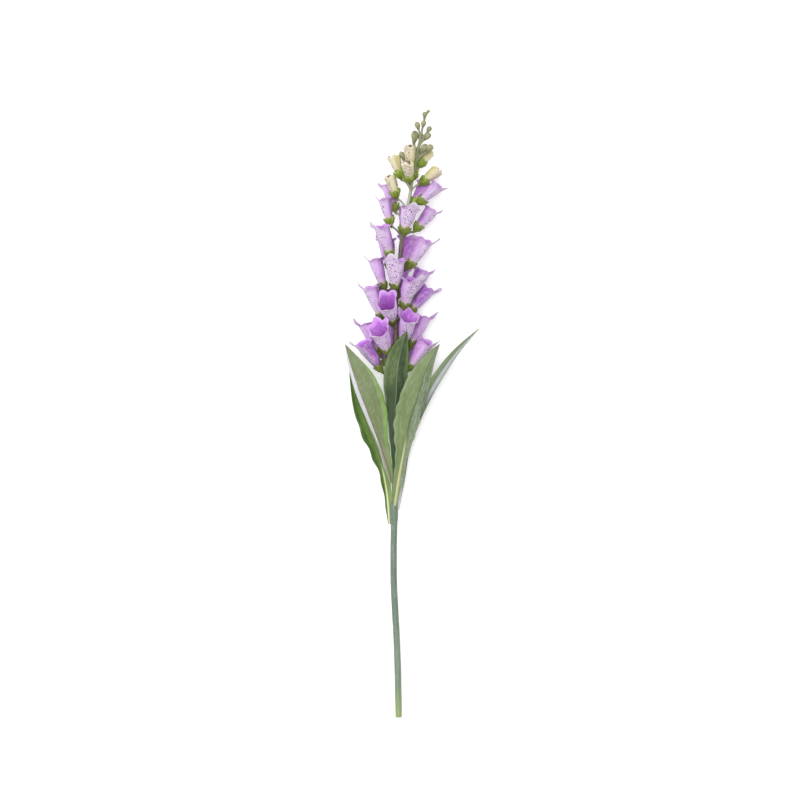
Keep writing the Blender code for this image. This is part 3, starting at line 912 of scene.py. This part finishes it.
CALYX_PLASTIC = SproutPlastic(
    "calyx plastic", foot=(104, 122, 28), tip=(156, 182, 62), other=(104, 110, 40), crease=(56, 72, 12))
BUD_PLASTIC = SproutPlastic(
    "bud plastic", foot=(138, 138, 96), tip=(182, 176, 132), other=(116, 126, 100), crease=(106, 108, 74))


@dataclass(frozen=True)
class Hook:
    """A place of a rim that is bent inwards, or outwards below zero.

    Attributes:
        bearing: Degrees round the bell from its lip.
        inward: How far it is bent, in millimetres.
        breadth: Half its breadth in degrees.
    """

    bearing: float
    inward: float
    breadth: float = 30.0

    def pull(self, angle: float) -> float:
        """How far the rim is pulled inwards at an angle in radians."""
        away = (math.degrees(angle) - self.bearing + 180) % 360 - 180
        return self.inward * math.exp(-((away / self.breadth) ** 2))


# By bell number: bends of single rims, where neighbours press rims in, and how deeply bells are dyed and
# painted with shade
BENT_RIMS = {
    5: (Hook(0, 2.5, 60), Hook(180, 2.5, 60)), 6: (Hook(0, 2.0, 60), Hook(150, 3.0, 60)),
    19: (Hook(-60, 2.0),), 23: (Hook(60, 2.0),), 26: (Hook(-98, 9.0), Hook(104, 3.5, 26)),
    28: (Hook(-150, 2.5, 22), Hook(150, -1.5, 28)), 30: (Hook(-128, -3.0, 22), Hook(105, 2.5, 26)),
    33: (Hook(120, 3.0),), 34: (Hook(-110, 2.5),)}
PRESSED_RIMS = {
    8: (Hook(157, 1.8, 28),), 20: (Hook(-142, 1.7, 28),), 28: (Hook(163, 4.6, 26),), 32: (Hook(142, 2.2),),
    35: (Hook(106, 4.8, 36), Hook(-135, 1.4, 26)), 36: (Hook(142, 3.6, 36), Hook(-129, 3.2, 36))}
TONES = {12: 0.05, 15: 0.35, 19: 0.2, 21: 0.8, 24: 0.91, 25: 0.5, 26: 0.55, 29: 0.6, 33: 1.0, 34: 0.7,
         35: 1.0}


@dataclass
class BellMaker:
    """Makes the cloth bells.

    Attributes:
        around: Cells round a bell.
        along: Cells up a bell.
        wall: Thickness of the cloth.
        body: Share of the cells up a bell that lie below its throat.
        tip: How far the thin point of the lower lip reaches past the lip.
        frill: Height of the small waves along the rim.
        roll: How far the lobes roll outwards.
        crumple: Depth of the soft dents.
        clearance: Least gap between the cloth and the surface below.
        dye: How deeply the lowest bells are dyed and painted with shade, from 0 to 1.
        dye_top: Height on the stem below which the dye deepens.
        dye_fall: How far below that it is at its deepest.
        growth: Share of the length and share of the growth in width.
    """

    around: int = 56
    along: int = 28
    wall: float = 0.45
    body: float = 0.68
    tip: float = 1.8
    frill: float = 0.6
    roll: float = 2.0
    crumple: float = 1.7
    clearance: float = 0.05
    dye: float = 0.8
    dye_top: float = 820.0
    dye_fall: float = 280.0
    growth: tuple[tuple[float, float], ...] = (
        (0.0, 0.0), (0.1, 0.19), (0.22, 0.39), (0.38, 0.61), (0.6, 0.83), (0.78, 0.95), (0.9, 1.0))

    def surface(self, flower: Flower, number: int) -> Place:
        """The rule of a bell's outer face.

        Args:
            flower: The bell's size and place.
            number: Its number, which seeds its small irregularities.

        Returns:
            The rule that gives a point for u round the bell and v up it.
        """
        size, draw = flower.size, random.Random(900 + number)
        frame_of = flower.placing()
        growth = smooth_curve(list(self.growth))
        phase, beat = draw.uniform(0, math.tau), draw.choice((7, 8, 9))
        folds = [(draw.choice((3, 4, 5, 6)), draw.uniform(0, math.tau), draw.uniform(0.025, 0.055))
                 for _ in range(2)]
        strong = size.length / MIDDLE.length
        loose = tuple(
            Hook(side * draw.uniform(80, 150), strong * draw.uniform(-2.0, 2.4), draw.uniform(20, 36))
            for side in (-1, 1))
        cream = size.dye is Dye.CREAM
        hooks = (*BENT_RIMS.get(number, () if cream else loose), *PRESSED_RIMS.get(number, ()))
        puff = 1.14 if cream else 1.0
        drift = Vector((draw.uniform(0, 50), draw.uniform(0, 50), draw.uniform(0, 50)))
        bow = draw.uniform(-0.9, 0.9)

        def place(u: float, v: float) -> Vector:
            """A point of the bell."""
            a = math.pi * u
            off = abs(math.degrees(a))
            rise = min(1.0, v / self.body) * size.throat
            share = growth(rise)
            deep = size.foot + (size.half_depth * puff - size.foot) * share
            wide = size.foot + (size.half_width * puff - size.foot) * share
            spot = Vector((math.cos(a), math.sin(a), 1.6 * v))
            dent = self.crumple * strong * smoothstep(0.1, 0.5, v) * noise.noise(spot * 1.4 + drift)
            crease = 1 + sum(depth * math.cos(k * a + turn + 2 * v) for k, turn, depth in folds) * share
            z = size.length * rise + size.slant * share * deep * math.cos(a)
            x = (deep * crease + dent) * math.cos(a)
            y = (wide * crease + dent) * math.sin(a) + bow * math.sin(math.pi * v)
            if v > self.body:
                w = (v - self.body) / (1 - self.body)
                reach = size.lobe(a)
                lip_side = math.exp(-((off / 30) ** 2))
                point = strong * self.tip * math.exp(-((off / 15) ** 2)) if size.lip > 6 else 0.0
                push = size.flare + size.curl * reach
                rolled = strong * self.roll * smoothstep(0.5, 1.0, w) * (1 - lip_side)
                rough = noise.noise(Vector((3.2 * math.cos(a), 3.2 * math.sin(a), 4.0)) + drift)
                wave = strong * self.frill * (math.sin(beat * a + phase) + 1.8 * rough) * w**3
                pull = sum(hook.pull(a) for hook in hooks) * w**1.7
                out = push * w ** (1.6 - 0.5 * lip_side) + rolled + wave - pull
                if cream:
                    rolled, hood = 0.0, smoothstep(60, 150, off)
                    dome = 1.1 * math.sin(math.pi * w) ** 2 - strong * (4.2 + 4.5 * hood) * w**2.4
                    out = dome + 0.6 * wave - pull
                    reach += 3.6 * hood
                x, y = x + out * math.cos(a), y + out * math.sin(a)
                z += (size.length * (1 - size.throat) + reach) * w + point * w**3
                z += 0.5 * wave - 0.45 * abs(rolled) - 0.2 * abs(pull)
            placed = frame_of @ Vector((x, y, z))
            placed.z = max(placed.z, self.wall + self.clearance)
            return placed

        return place

    def make(self, number: int, flower: Flower, finishes: list[bpy.types.Material]) -> bpy.types.Object:
        """Makes one bell and hides the solid that it stands for.

        Args:
            number: The bell's number.
            flower: Its size and place.
            finishes: The cloth outside and inside.

        Returns:
            The bell's object.
        """
        size = flower.size
        cloth = (math.pi * (size.half_width + size.half_depth) * 0.85, size.length * 1.25)
        tone = TONES.get(number, self.dye * smoothstep(0, self.dye_fall, self.dye_top - flower.height))
        bm = Sheet(self.around, self.along, self.surface(flower, number), cloth, tone=tone,
                   capped=(True, False), seed=number).build()
        face_outwards(bm, flower.placing())
        slot = Slot.CREAM if size.dye is Dye.CREAM else Slot.LILAC
        name = f"bell_{number:02d}"
        return Piece(f"{name}_cloth", slot, finishes, name, self.wall, -1.0).finish([bm])


@dataclass(frozen=True)
class LeafPlan:
    """One leaf: its midrib's sideways place, height and lift above the stalk's axis, and how it opens.

    Attributes:
        name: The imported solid's name.
        midrib: The midrib's points.
        widths: Greatest width of the left and the right half.
        tilts: Degrees that each half is turned out of level.
        wave: Height of the waves of the margins.
        wave_start: Where the waves start, in turns.
        outer: The cloth of the side that looks up.
        bluntness: How far the greatest width lies towards the tip.
        scallops: How far the left and the right margin swing in and out.
        ripples: How many swings the margins have.
    """

    name: str
    midrib: tuple[tuple[float, float, float], ...]
    widths: tuple[float, float]
    tilts: tuple[float, float]
    wave: float
    wave_start: float
    outer: LeafCloth
    bluntness: float = 1.0
    scallops: tuple[float, float] = (0.6, 0.6)
    ripples: float = 7.0


GREEN_HALF = HalfBlade((96, 124, 70), (70, 96, 48), (130, 150, 100), (106, 132, 78))
UNDERSIDE = LeafCloth("leaf underside", GREEN_HALF, GREEN_HALF, rib=(150, 166, 108), rib_line=(134, 152, 98))
# The striped leaf's dark rib_line, along and beside its midrib, is painted shadow of the raised midrib.
LEAF_1 = LeafCloth(
    "striped leaf cloth",
    HalfBlade((85, 118, 56), (60, 90, 40), (114, 145, 70), (96, 131, 66), 0.1, glint=0.5),
    HalfBlade((116, 151, 62), (94, 130, 46), (146, 174, 86), (158, 175, 110), 0.1, glint=0.5),
    rib=(226, 226, 176), rib_line=(76, 100, 52), rib_top=0.42, rib_width=0.45, rib_shade=0.9, split=-0.5)
LEAF_2 = LeafCloth(
    "folded leaf cloth",
    HalfBlade((216, 214, 226), (194, 194, 202), (230, 228, 236), (196, 198, 196), 0.12, glint=0.4),
    HalfBlade((115, 133, 80), (101, 117, 64), (142, 158, 116), (120, 160, 72), 0.05, 0.5, 0.3),
    rib=(120, 108, 84), rib_line=(128, 120, 90), rib_top=0.7, rib_width=0.1, rib_shade=0.8,
    low=(138, 138, 112), low_top=0.3)
# The dark leaf's low colour over its foot is painted shade from the leaves around it.
LEAF_3 = LeafCloth(
    "dark leaf cloth",
    HalfBlade((82, 104, 54), (58, 80, 36), (128, 146, 100), (104, 128, 80), 0.1, glint=0.5),
    HalfBlade((56, 76, 44), (38, 56, 30), (100, 120, 82), (94, 124, 60), 0.26, glint=0.4),
    rib=(60, 84, 40), rib_line=(132, 152, 104), rib_top=0.6, rib_width=0.07, low=(42, 66, 28),
    low_top=0.68)
# The pale leaf's dark rib_line, along and beside its midrib, is painted shadow of the raised midrib.
LEAF_4 = LeafCloth(
    "pale leaf cloth",
    HalfBlade((116, 137, 82), (98, 121, 60), (141, 156, 114), (132, 149, 112), 0.1, glint=0.4),
    HalfBlade((113, 138, 76), (94, 120, 56), (184, 194, 180), (152, 170, 132), 0.12, glint=0.9),
    rib=(202, 202, 142), rib_line=(84, 102, 46), rib_top=0.46, rib_width=0.5, rib_shade=0.9)
# The banded leaf is brightened as painted light against the shade in its deep fold, and its right half's
# white band is a painted sheen.
LEAF_5 = LeafCloth(
    "leaf cloth with painted sheen band",
    HalfBlade((158, 178, 132), (138, 160, 106), (182, 196, 164), (140, 162, 110), 0.1, glint=0.4),
    HalfBlade((240, 240, 250), (214, 218, 220), (246, 246, 252), (152, 170, 124), 0.2, glint=0.5),
    rib=(216, 220, 214), rib_line=(210, 214, 206), rib_width=0.03, rib_shade=0.2, split=-0.32)

LEAVES = [
    LeafPlan("leaf_1", ((-14.2, 300, 0), (-16.4, 330, -4), (-20.3, 360, -10), (-29.5, 402, -14),
                        (-47, 447, -17), (-61.8, 488, -17), (-76, 537, -13)),
             (14.5, 22.5), (35, 15), 2.2, 0.355, LEAF_1, scallops=(1.9, 0.6), ripples=6.1),
    LeafPlan("leaf_2", ((-11.6, 364, 2.6), (-15, 381, 7), (-22, 402, 12.5), (-36.4, 442, 18),
                        (-52.5, 484, 22), (-60.2, 504, 22.5), (-74.4, 547, 20), (-82.7, 578, 16)),
             (19, 32), (-72, -8), 0.8, 0.0, LEAF_2),
    LeafPlan("leaf_3", ((-3.6, 346, 4.6), (-4.4, 371, 5.4), (-7.0, 414, 8.5), (-7.1, 461, 10), (-4, 499, 13),
                        (-2.5, 535, 21), (3.7, 569, 31), (13, 598, 41)),
             (20, 17), (-14, -18), 0.8, 0.5, LEAF_3, bluntness=1.45),
    LeafPlan("leaf_4", ((-6.2, 328, 6.8), (-2.5, 350, 9.2), (4, 389, 13.5), (10.3, 422, 18), (17, 457, 22),
                        (28, 494, 25), (39, 530, 26), (51.5, 558, 25), (63.4, 578, 23)),
             (26, 24), (-14, -52), 2.4, 0.76, LEAF_4, scallops=(1.2, 2.4), ripples=10.9),
    LeafPlan("leaf_5", ((-1.5, 322, -6.3), (2.2, 350, -6.5), (9, 384, -8), (22, 437, -10), (41, 484, -9),
                        (64, 526, -6), (92, 566, -1), (126.4, 604, 5)),
             (19, 18), (55, 78), 1.0, 0.3, LEAF_5, scallops=(0.9, 0.6)),
]


@dataclass
class LeafMaker:
    """Makes the cloth leaves.

    Attributes:
        across: Cells across a blade.
        along: Cells up a blade.
        wall: Thickness of the cloth.
        tooth: How far a tooth of the margin stands out.
        pitch: Distance between teeth.
        rib: How far the midrib stands out.
        waves: How many waves a margin has.
        outline: Share of the length and share of the greatest width.
    """

    across: int = 36
    along: int = 240
    wall: float = 0.5
    tooth: float = 0.55
    pitch: float = 3.4
    rib: float = 0.7
    waves: float = 3.2
    outline: tuple[tuple[float, float], ...] = (
        (0.0, 0.0), (0.1, 0.16), (0.3, 0.46), (0.42, 0.78), (0.52, 0.96), (0.62, 1.0), (0.72, 0.93),
        (0.82, 0.69), (0.92, 0.33), (1.0, 0.0))

    def surface(self, plan: LeafPlan) -> tuple[Place, float]:
        """The rule of a blade and its length."""
        points = [Vector((x, y, AXIS.point(y).z + lift)) for x, y, lift in plan.midrib]
        fine = smooth_route(points, 8)
        run = np.concatenate([[0], np.cumsum(np.linalg.norm(np.diff(fine, axis=0), axis=1))])
        length = float(run[-1])
        run /= length
        outline = smooth_curve(list(self.outline))

        def midrib(t: float) -> Vector:
            """The midrib's point at a share of its length."""
            return Vector([float(np.interp(t, run, fine[:, side])) for side in range(3)])

        def place(u: float, t: float) -> Vector:
            """A point of the blade."""
            left = u < 0
            along = (midrib(min(t + 0.02, 1)) - midrib(max(t - 0.02, 0))).normalized()
            over = along.cross(Vector((0, 0, 1))).normalized()
            up = over.cross(along)
            share = max(0.0, outline(t**plan.bluntness))
            root = 1.8 * max(0.0, 1 - t / 0.3) + 0.5 * (1 - smoothstep(0.97, 1.0, t) * 0.8)
            full, swing = (plan.widths[0], plan.scallops[0]) if left else (plan.widths[1], plan.scallops[1])
            margin = self.tooth * share**0.5 * ((t * length / self.pitch) % 1.0)
            margin *= smoothstep(0.85, 1.0, abs(u))
            ripple = math.tau * (plan.ripples * t + plan.wave_start) + (2.2 if left else 0)
            swing *= smoothstep(0.4, 1.0, abs(u)) * smoothstep(0.8, 0.5, t)
            margin += swing * share**0.7 * math.sin(ripple)
            width = abs(u) * (share * full + root) + margin
            tilt = math.radians(plan.tilts[0] if left else plan.tilts[1]) * min(1.0, t / 0.25)
            turns = math.tau * (self.waves * t + plan.wave_start) + (1.7 if left else 0)
            wave = plan.wave * share * u * u * math.sin(turns)
            quick = 0.35 * share * smoothstep(0.4, 1.0, abs(u)) * math.sin(turns * 3.3 + u)
            ridge = self.rib * math.exp(-((width / 1.1) ** 2)) * (1 - 0.75 * t)
            side = (-width if left else width) * math.cos(tilt)
            return midrib(t) + side * over + (width * math.sin(tilt) + wave + quick + ridge) * up

        return place, length

    def make(self, number: int, plan: LeafPlan, underside: bpy.types.Material) -> bpy.types.Object:
        """Makes one leaf and hides the solid that it stands for.

        Args:
            number: Seeds the leaf's pattern.
            plan: The leaf's form and cloth.
            underside: The material of the side that looks down.

        Returns:
            The leaf's object.
        """
        place, length = self.surface(plan)
        cloth = (sum(plan.widths), length)
        bm = Sheet(self.across, self.along, place, cloth, rolled=False, seed=50 + number).build()
        if sum(face.normal.z * face.calc_area() for face in bm.faces) < 0:
            bmesh.ops.reverse_faces(bm, faces=bm.faces[:])
        finishes = [plan.outer.make(), underside]
        return Piece(f"{plan.name}_cloth", Slot.LEAF, finishes, plan.name, self.wall).finish([bm])


@dataclass
class GreenMaker:
    """Makes the stem, the flower stalk with its pedicels, the calyces and the buds.

    Attributes:
        sides: Cells round the main stem.
        calyx_spread: How far a calyx stands off its bell.
        calyx_tip: How high the sepals reach.
        calyx_valley: How low the gaps between the sepals reach.
        calyx_depth: How far a calyx reaches below the bell's foot.
        calyx_wall: Thickness of the sepals.
        pedicel_root: How far below its flower a pedicel leaves the stalk.
        pedicel_elbow: How far below its flower it bends.
        stalk_foot: Height of the stalk's foot in its socket.
        stalk_tip: Height of the stalk's tip.
        sleeve: Height and radius of the main stem's outside.
        socket: Height and radius of the stalk's socket and of the bore, from the top down.
        stalk: Height and radius of the flower stalk.
    """

    sides: int = 32
    calyx_spread: float = 2.3
    calyx_tip: float = 11.0
    calyx_valley: float = 4.2
    calyx_depth: float = 7.5
    calyx_wall: float = 0.9
    pedicel_root: float = 17.0
    pedicel_elbow: float = 8.5
    stalk_foot: float = 300.0
    stalk_tip: float = 937.0
    sleeve: tuple[tuple[float, float], ...] = (
        (0, 4.5), (1.2, 4.85), (22, 5.1), (100, 5.1), (200, 5.1), (290, 5.1), (306, 6.0), (317, 6.4),
        (327, 6.0), (334, 5.2))
    socket: tuple[tuple[float, float], ...] = (
        (334, 3.6), (299, 3.6), (299, 1.6), (200, 1.6), (100, 1.6), (0, 1.6))
    stalk: tuple[tuple[float, float], ...] = (
        (300, 3.0), (334, 3.0), (346, 3.4), (420, 3.5), (600, 3.5), (723, 3.0), (850, 2.2), (936, 1.1))

    @staticmethod
    def ring_point(height: float, radius: float, angle: float) -> Vector:
        """A point round the axis, angle 0 looking up."""
        along = AXIS.tangent(height)
        across = along.cross(Vector((0, 0, 1))).normalized()
        up = across.cross(along)
        return AXIS.point(height) + radius * (math.sin(angle) * across + math.cos(angle) * up)

    def make_sleeve(self) -> bpy.types.Object:
        """The main stem's plastic sleeve, with a flat spot under its cut end and its bore."""
        radius = smooth_curve(list(self.sleeve))
        heights = [0, 0.4, 1.2, 3, 8, 15, 22, *range(28, 290, 6), *range(290, 334, 3), 334]
        rings = [(h, radius(h)) for h in heights] + list(self.socket) + [(0, radius(0))]
        last = len(rings) - 1
        outside = len(heights)

        def place(u: float, v: float) -> Vector:
            """A point of the sleeve."""
            index = round(v * last)
            height, r = rings[index]
            angle = math.pi * u
            if 2 < index < outside - 1:
                r += 0.1 * math.sin(5 * angle + height * 0.013)
                r += 0.12 * math.sin(height * 0.11) * math.sin(angle + 1)
            point = self.ring_point(height, r, angle)
            point.z = max(point.z, 0.0)
            return point

        bm = Sheet(self.sides, last, place, (32, 334), capped=(False, False)).build()
        bmesh.ops.remove_doubles(bm, verts=bm.verts[:], dist=1e-5)
        bmesh.ops.recalc_face_normals(bm, faces=bm.faces[:])
        return Piece("main_stem_sleeve", Slot.STEM, [STEM_PLASTIC.make()], "main_stem").finish([bm])

    def make_stalk(self) -> bpy.types.Object:
        """The flower stalk and its pedicels."""
        radius = smooth_curve(list(self.stalk))
        low, high = self.stalk_foot, self.stalk_tip

        def place(u: float, v: float) -> Vector:
            """A point of the stalk."""
            height = low + (high - low) * v
            angle = math.pi * u
            bumps = 0.12 * math.sin(4 * angle + height * 0.03)
            bumps += 0.15 * math.sin(height * 0.21 + math.sin(angle))
            return self.ring_point(height, radius(height) + bumps * min(1.0, (high - height) / 40), angle)

        sheets = [Sheet(20, 150, place, (20, high - low)).build()]
        sheets += [self.pedicel(item) for item in [*FLOWERS, *BUDS]]
        for bm in sheets:
            bmesh.ops.recalc_face_normals(bm, faces=bm.faces[:])
        finishes = [STALK_PLASTIC.make()]
        return Piece("flower_stalk_plastic", Slot.STALK, finishes, "flower_stalk").finish(sheets)

    def pedicel(self, item: Seat) -> bmesh.types.BMesh:
        """A short stalk that leaves the flower stalk and bends out to its calyx or bud."""
        placed = item.placing()
        seat = placed @ Vector((0, 0, 2.5 if isinstance(item, Bud) else -4.0))
        along = placed.to_3x3() @ Vector((0, 0, 1))
        root = AXIS.point(item.height - self.pedicel_root)
        elbow = AXIS.point(item.height - self.pedicel_elbow).lerp(seat - 4 * along, 0.6)
        route = smooth_route([root, elbow, seat], 5)
        last = len(route) - 1

        def place(u: float, v: float) -> Vector:
            """A point of the pedicel."""
            index = round(v * last)
            ahead = Vector(route[min(index + 1, last)] - route[max(index - 1, 0)]).normalized()
            over = ahead.cross(Vector((0, 0, 1))).normalized()
            swell = 1.4 + 0.5 * smoothstep(0.6, 1.0, v) + 0.3 * smoothstep(0.4, 0.0, v)
            angle = math.pi * u
            side = math.cos(angle) * over + math.sin(angle) * over.cross(ahead)
            return Vector(route[index]) + swell * side

        return Sheet(10, last, place, (8, 20)).build()

    def calyx(self, number: int, flower: Flower) -> bmesh.types.BMesh:
        """A cup of five rounded sepals round the foot of a bell."""
        size, draw = flower.size, random.Random(300 + number)
        placed = flower.placing()
        growth = smooth_curve(list(BellMaker.growth))
        turn = math.radians(draw.uniform(-8, 8))
        lift = [draw.uniform(-1.8, 1.0) for _ in range(5)]
        low = 1 - smoothstep(640, 800, flower.height)
        bulk = 1.0 - 0.3 * low
        drift = Vector((draw.uniform(0, 50), draw.uniform(0, 50), 0))

        def place(u: float, v: float) -> Vector:
            """A point of the calyx."""
            a = math.pi * u + turn
            fifth = (a / math.tau * 5 + 0.5) % 5
            inside = 2 * abs(fifth % 1.0 - 0.5)
            tip = self.calyx_tip + lift[int(fifth)]
            top = self.calyx_valley + (tip - self.calyx_valley) * (1 - inside**3.4)
            z = -self.calyx_depth + (top + self.calyx_depth) * v
            share = growth(max(z, 0) / size.length)
            bell = Vector((size.foot + (size.half_depth - size.foot) * share,
                           size.foot + (size.half_width - size.foot) * share))
            cup = smoothstep(-self.calyx_depth - 2.5, 0.5, z)
            spread = self.calyx_spread * bulk * smoothstep(-3, 1, z)
            leafy = 1.1 * (1 - inside**2) * smoothstep(0, 7, z) - 0.8 * math.exp(-((inside / 0.14) ** 2))
            leafy -= 1.4 * smoothstep(0.7, 1.0, inside) + 1.0 * smoothstep(0.8, 1.0, v)
            crumple = 1.7 * noise.noise(Vector((2.4 * math.cos(a), 2.4 * math.sin(a), 0.3 * z)) + drift)
            wide = [side * cup + spread + bulk * (leafy + crumple) * smoothstep(-3, 2, z) for side in bell]
            return placed @ Vector((wide[0] * math.cos(a), wide[1] * math.sin(a), z))

        tone = min(1.0, 0.75 * low + draw.uniform(0, 0.4))
        bm = Sheet(60, 12, place, (34, 18), tone=tone, capped=(True, False), seed=number).build()
        face_outwards(bm, placed)
        return bm

    def make_calyces(self) -> bpy.types.Object:
        """All calyces of the spike."""
        sheets = [self.calyx(number, flower) for number, flower in enumerate(FLOWERS, 1)]
        finishes = [CALYX_PLASTIC.make()]
        return Piece("calyces", Slot.STALK, finishes, "flower_stalk", self.calyx_wall).finish(sheets)

    @staticmethod
    def bud(number: int, bud: Bud) -> list[bmesh.types.BMesh]:
        """A closed bud and the small cup that it sits in."""
        draw = random.Random(600 + number)
        placed = bud.placing()
        form = smooth_curve([(0, 0.22), (0.15, 0.42), (0.35, 0.74), (0.55, 0.97), (0.7, 1.0), (0.85, 0.86),
                             (0.95, 0.52), (1, 0.08)])
        turn = draw.uniform(0, math.tau)
        cleft = 0.14 if bud.length > 16 else 0.05

        def place(u: float, v: float) -> Vector:
            """A point of the bud."""
            a = math.pi * u
            lobed = 1 + 0.08 * math.cos(2 * a + turn) - cleft * v * abs(math.cos(a + turn)) ** 9
            r = bud.width / 2 * form(v) * lobed
            bend = 0.06 * bud.length * v * v
            top = bud.length * v * (1 + 0.09 * v * abs(math.sin(a + turn)))
            return placed @ Vector((r * math.cos(a) + bend, r * math.sin(a), top))

        def cup(u: float, v: float) -> Vector:
            """A point of the small calyx."""
            a = math.pi * u
            top = bud.length * (0.1 + 0.14 * abs(math.cos(2.5 * a + turn)))
            z = -1.2 + (top + 1.2) * v
            r = bud.width / 2 * form(max(0.0, z / bud.length)) * (0.75 + 0.25 * min(1.0, v * 3))
            r += 0.3 + 0.15 * v
            return placed @ Vector((r * math.cos(a), r * math.sin(a), z))

        tone = draw.uniform(0, 0.5)
        return [Sheet(24, 16, place, (24, bud.length), tone=tone, seed=number).build(),
                Sheet(30, 6, cup, (24, 6), tone=1.0, capped=(True, False), seed=number).build()]

    def make_buds(self) -> bpy.types.Object:
        """All buds of the tip."""
        sheets = [bm for number, bud in enumerate(BUDS) for bm in self.bud(number, bud)]
        for bm in sheets:
            bmesh.ops.recalc_face_normals(bm, faces=bm.faces[:])
        return Piece("buds", Slot.STALK, [BUD_PLASTIC.make()], "flower_stalk").finish(sheets)

    @staticmethod
    def dress_wire() -> None:
        """Gives the core wire its drawn steel."""
        paint = Finish("drawn steel", Metallic=1.0)
        scratch = paint.noise(paint.stretch(paint.place(), 1.0, 0.05), 2500.0, 2.0)
        colour = paint.mix(scratch, (150, 152, 156), (196, 198, 202))
        material = paint.done(colour, paint.linear(scratch, 0.3, 0.25))
        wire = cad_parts["core_wire"]
        wire.data.materials.clear()
        wire.data.materials.append(material)


@dataclass
class Studio:
    """The pale floor, the soft lights and the camera above the stem.

    Attributes:
        frame_width: Width of the picture at the stem, in metres.
        middle: Sideways place and height on the stem of the picture's middle, in millimetres.
        level: Height above the floor that the width is measured at.
        lens: Focal length in millimetres.
        floor_glow: Light that the floor gives off, which thins the shadows on it.
    """

    frame_width: float = 1.2344
    middle: tuple[float, float] = (2.2, 491.6)
    level: float = 0.045
    lens: float = 300.0
    floor_glow: float = 0.22

    def make_floor(self) -> None:
        """A plain pale floor."""
        bm = bmesh.new()
        bmesh.ops.create_grid(bm, x_segments=1, y_segments=1, size=6)
        mesh = bpy.data.meshes.new("floor")
        bm.to_mesh(mesh)
        bm.free()
        floor = bpy.data.objects.new("floor", mesh)
        paint = Finish("floor", Emission_Color=(1, 1, 1, 1), Emission_Strength=self.floor_glow)
        grey = paint.linear(paint.noise(paint.place(), 3.0, 2.0), 0.02, 0.93)
        mesh.materials.append(paint.done(grey, 0.9))
        bpy.context.scene.collection.objects.link(floor)

    @staticmethod
    def make_lights() -> None:
        """A bright overcast surround, a soft overhead light and a weak key from the upper left."""
        world = bpy.data.worlds.new("studio")
        world.use_nodes = True
        sky = world.node_tree.nodes["Background"].inputs
        sky["Color"].default_value = (1, 1, 1, 1)
        sky["Strength"].default_value = 0.55
        bpy.context.scene.world = world
        for name, kind, spot, power, size in (("overhead", "SUN", (-0.1, 0.15, 2.0), 2.1, 0.5),
                                              ("key", "AREA", (-1.6, 1.2, 1.6), 22.0, 1.4)):
            lamp = bpy.data.lights.new(name, kind)
            lamp.energy = power
            setattr(lamp, "angle" if kind == "SUN" else "size", size)
            lamp_object = bpy.data.objects.new(name, lamp)
            lamp_object.location = spot
            lamp_object.rotation_euler = (-Vector(spot)).to_track_quat("-Z", "Y").to_euler()
            bpy.context.scene.collection.objects.link(lamp_object)
        bpy.context.scene.view_settings.view_transform = "Standard"

    def make_camera(self) -> None:
        """A long lens that looks straight down."""
        data = bpy.data.cameras.new("camera")
        data.lens = self.lens
        data.clip_end = 100
        camera = bpy.data.objects.new("camera", data)
        distance = self.frame_width * self.lens / data.sensor_width
        x, y = self.middle
        camera.location = ((x + SHIFT.x) * MM, (y + SHIFT.y) * MM, self.level + distance)
        bpy.context.scene.collection.objects.link(camera)
        bpy.context.scene.camera = camera


def main() -> None:
    """Builds the stem from the wire outwards, then the studio."""
    logging.basicConfig(level=logging.INFO, format="%(name)s: %(message)s")
    LOG.info("the drawing is shifted by %s mm", [round(side, 3) for side in SHIFT])
    greens = GreenMaker()
    greens.dress_wire()
    greens.make_sleeve()
    greens.make_stalk()
    greens.make_calyces()
    greens.make_buds()
    leaves, underside = LeafMaker(), UNDERSIDE.make()
    for number, plan in enumerate(LEAVES, 1):
        leaves.make(number, plan, underside)
    bells = BellMaker()
    dyed = {Dye.LILAC: [LILAC_OUT.make(), LILAC_IN.make()], Dye.CREAM: [CREAM_OUT.make(), CREAM_IN.make()]}
    for number, flower in enumerate(FLOWERS, 1):
        bells.make(number, flower, dyed[flower.size.dye])
    studio = Studio()
    studio.make_floor()
    studio.make_lights()
    studio.make_camera()


if __name__ == "__main__":
    main()
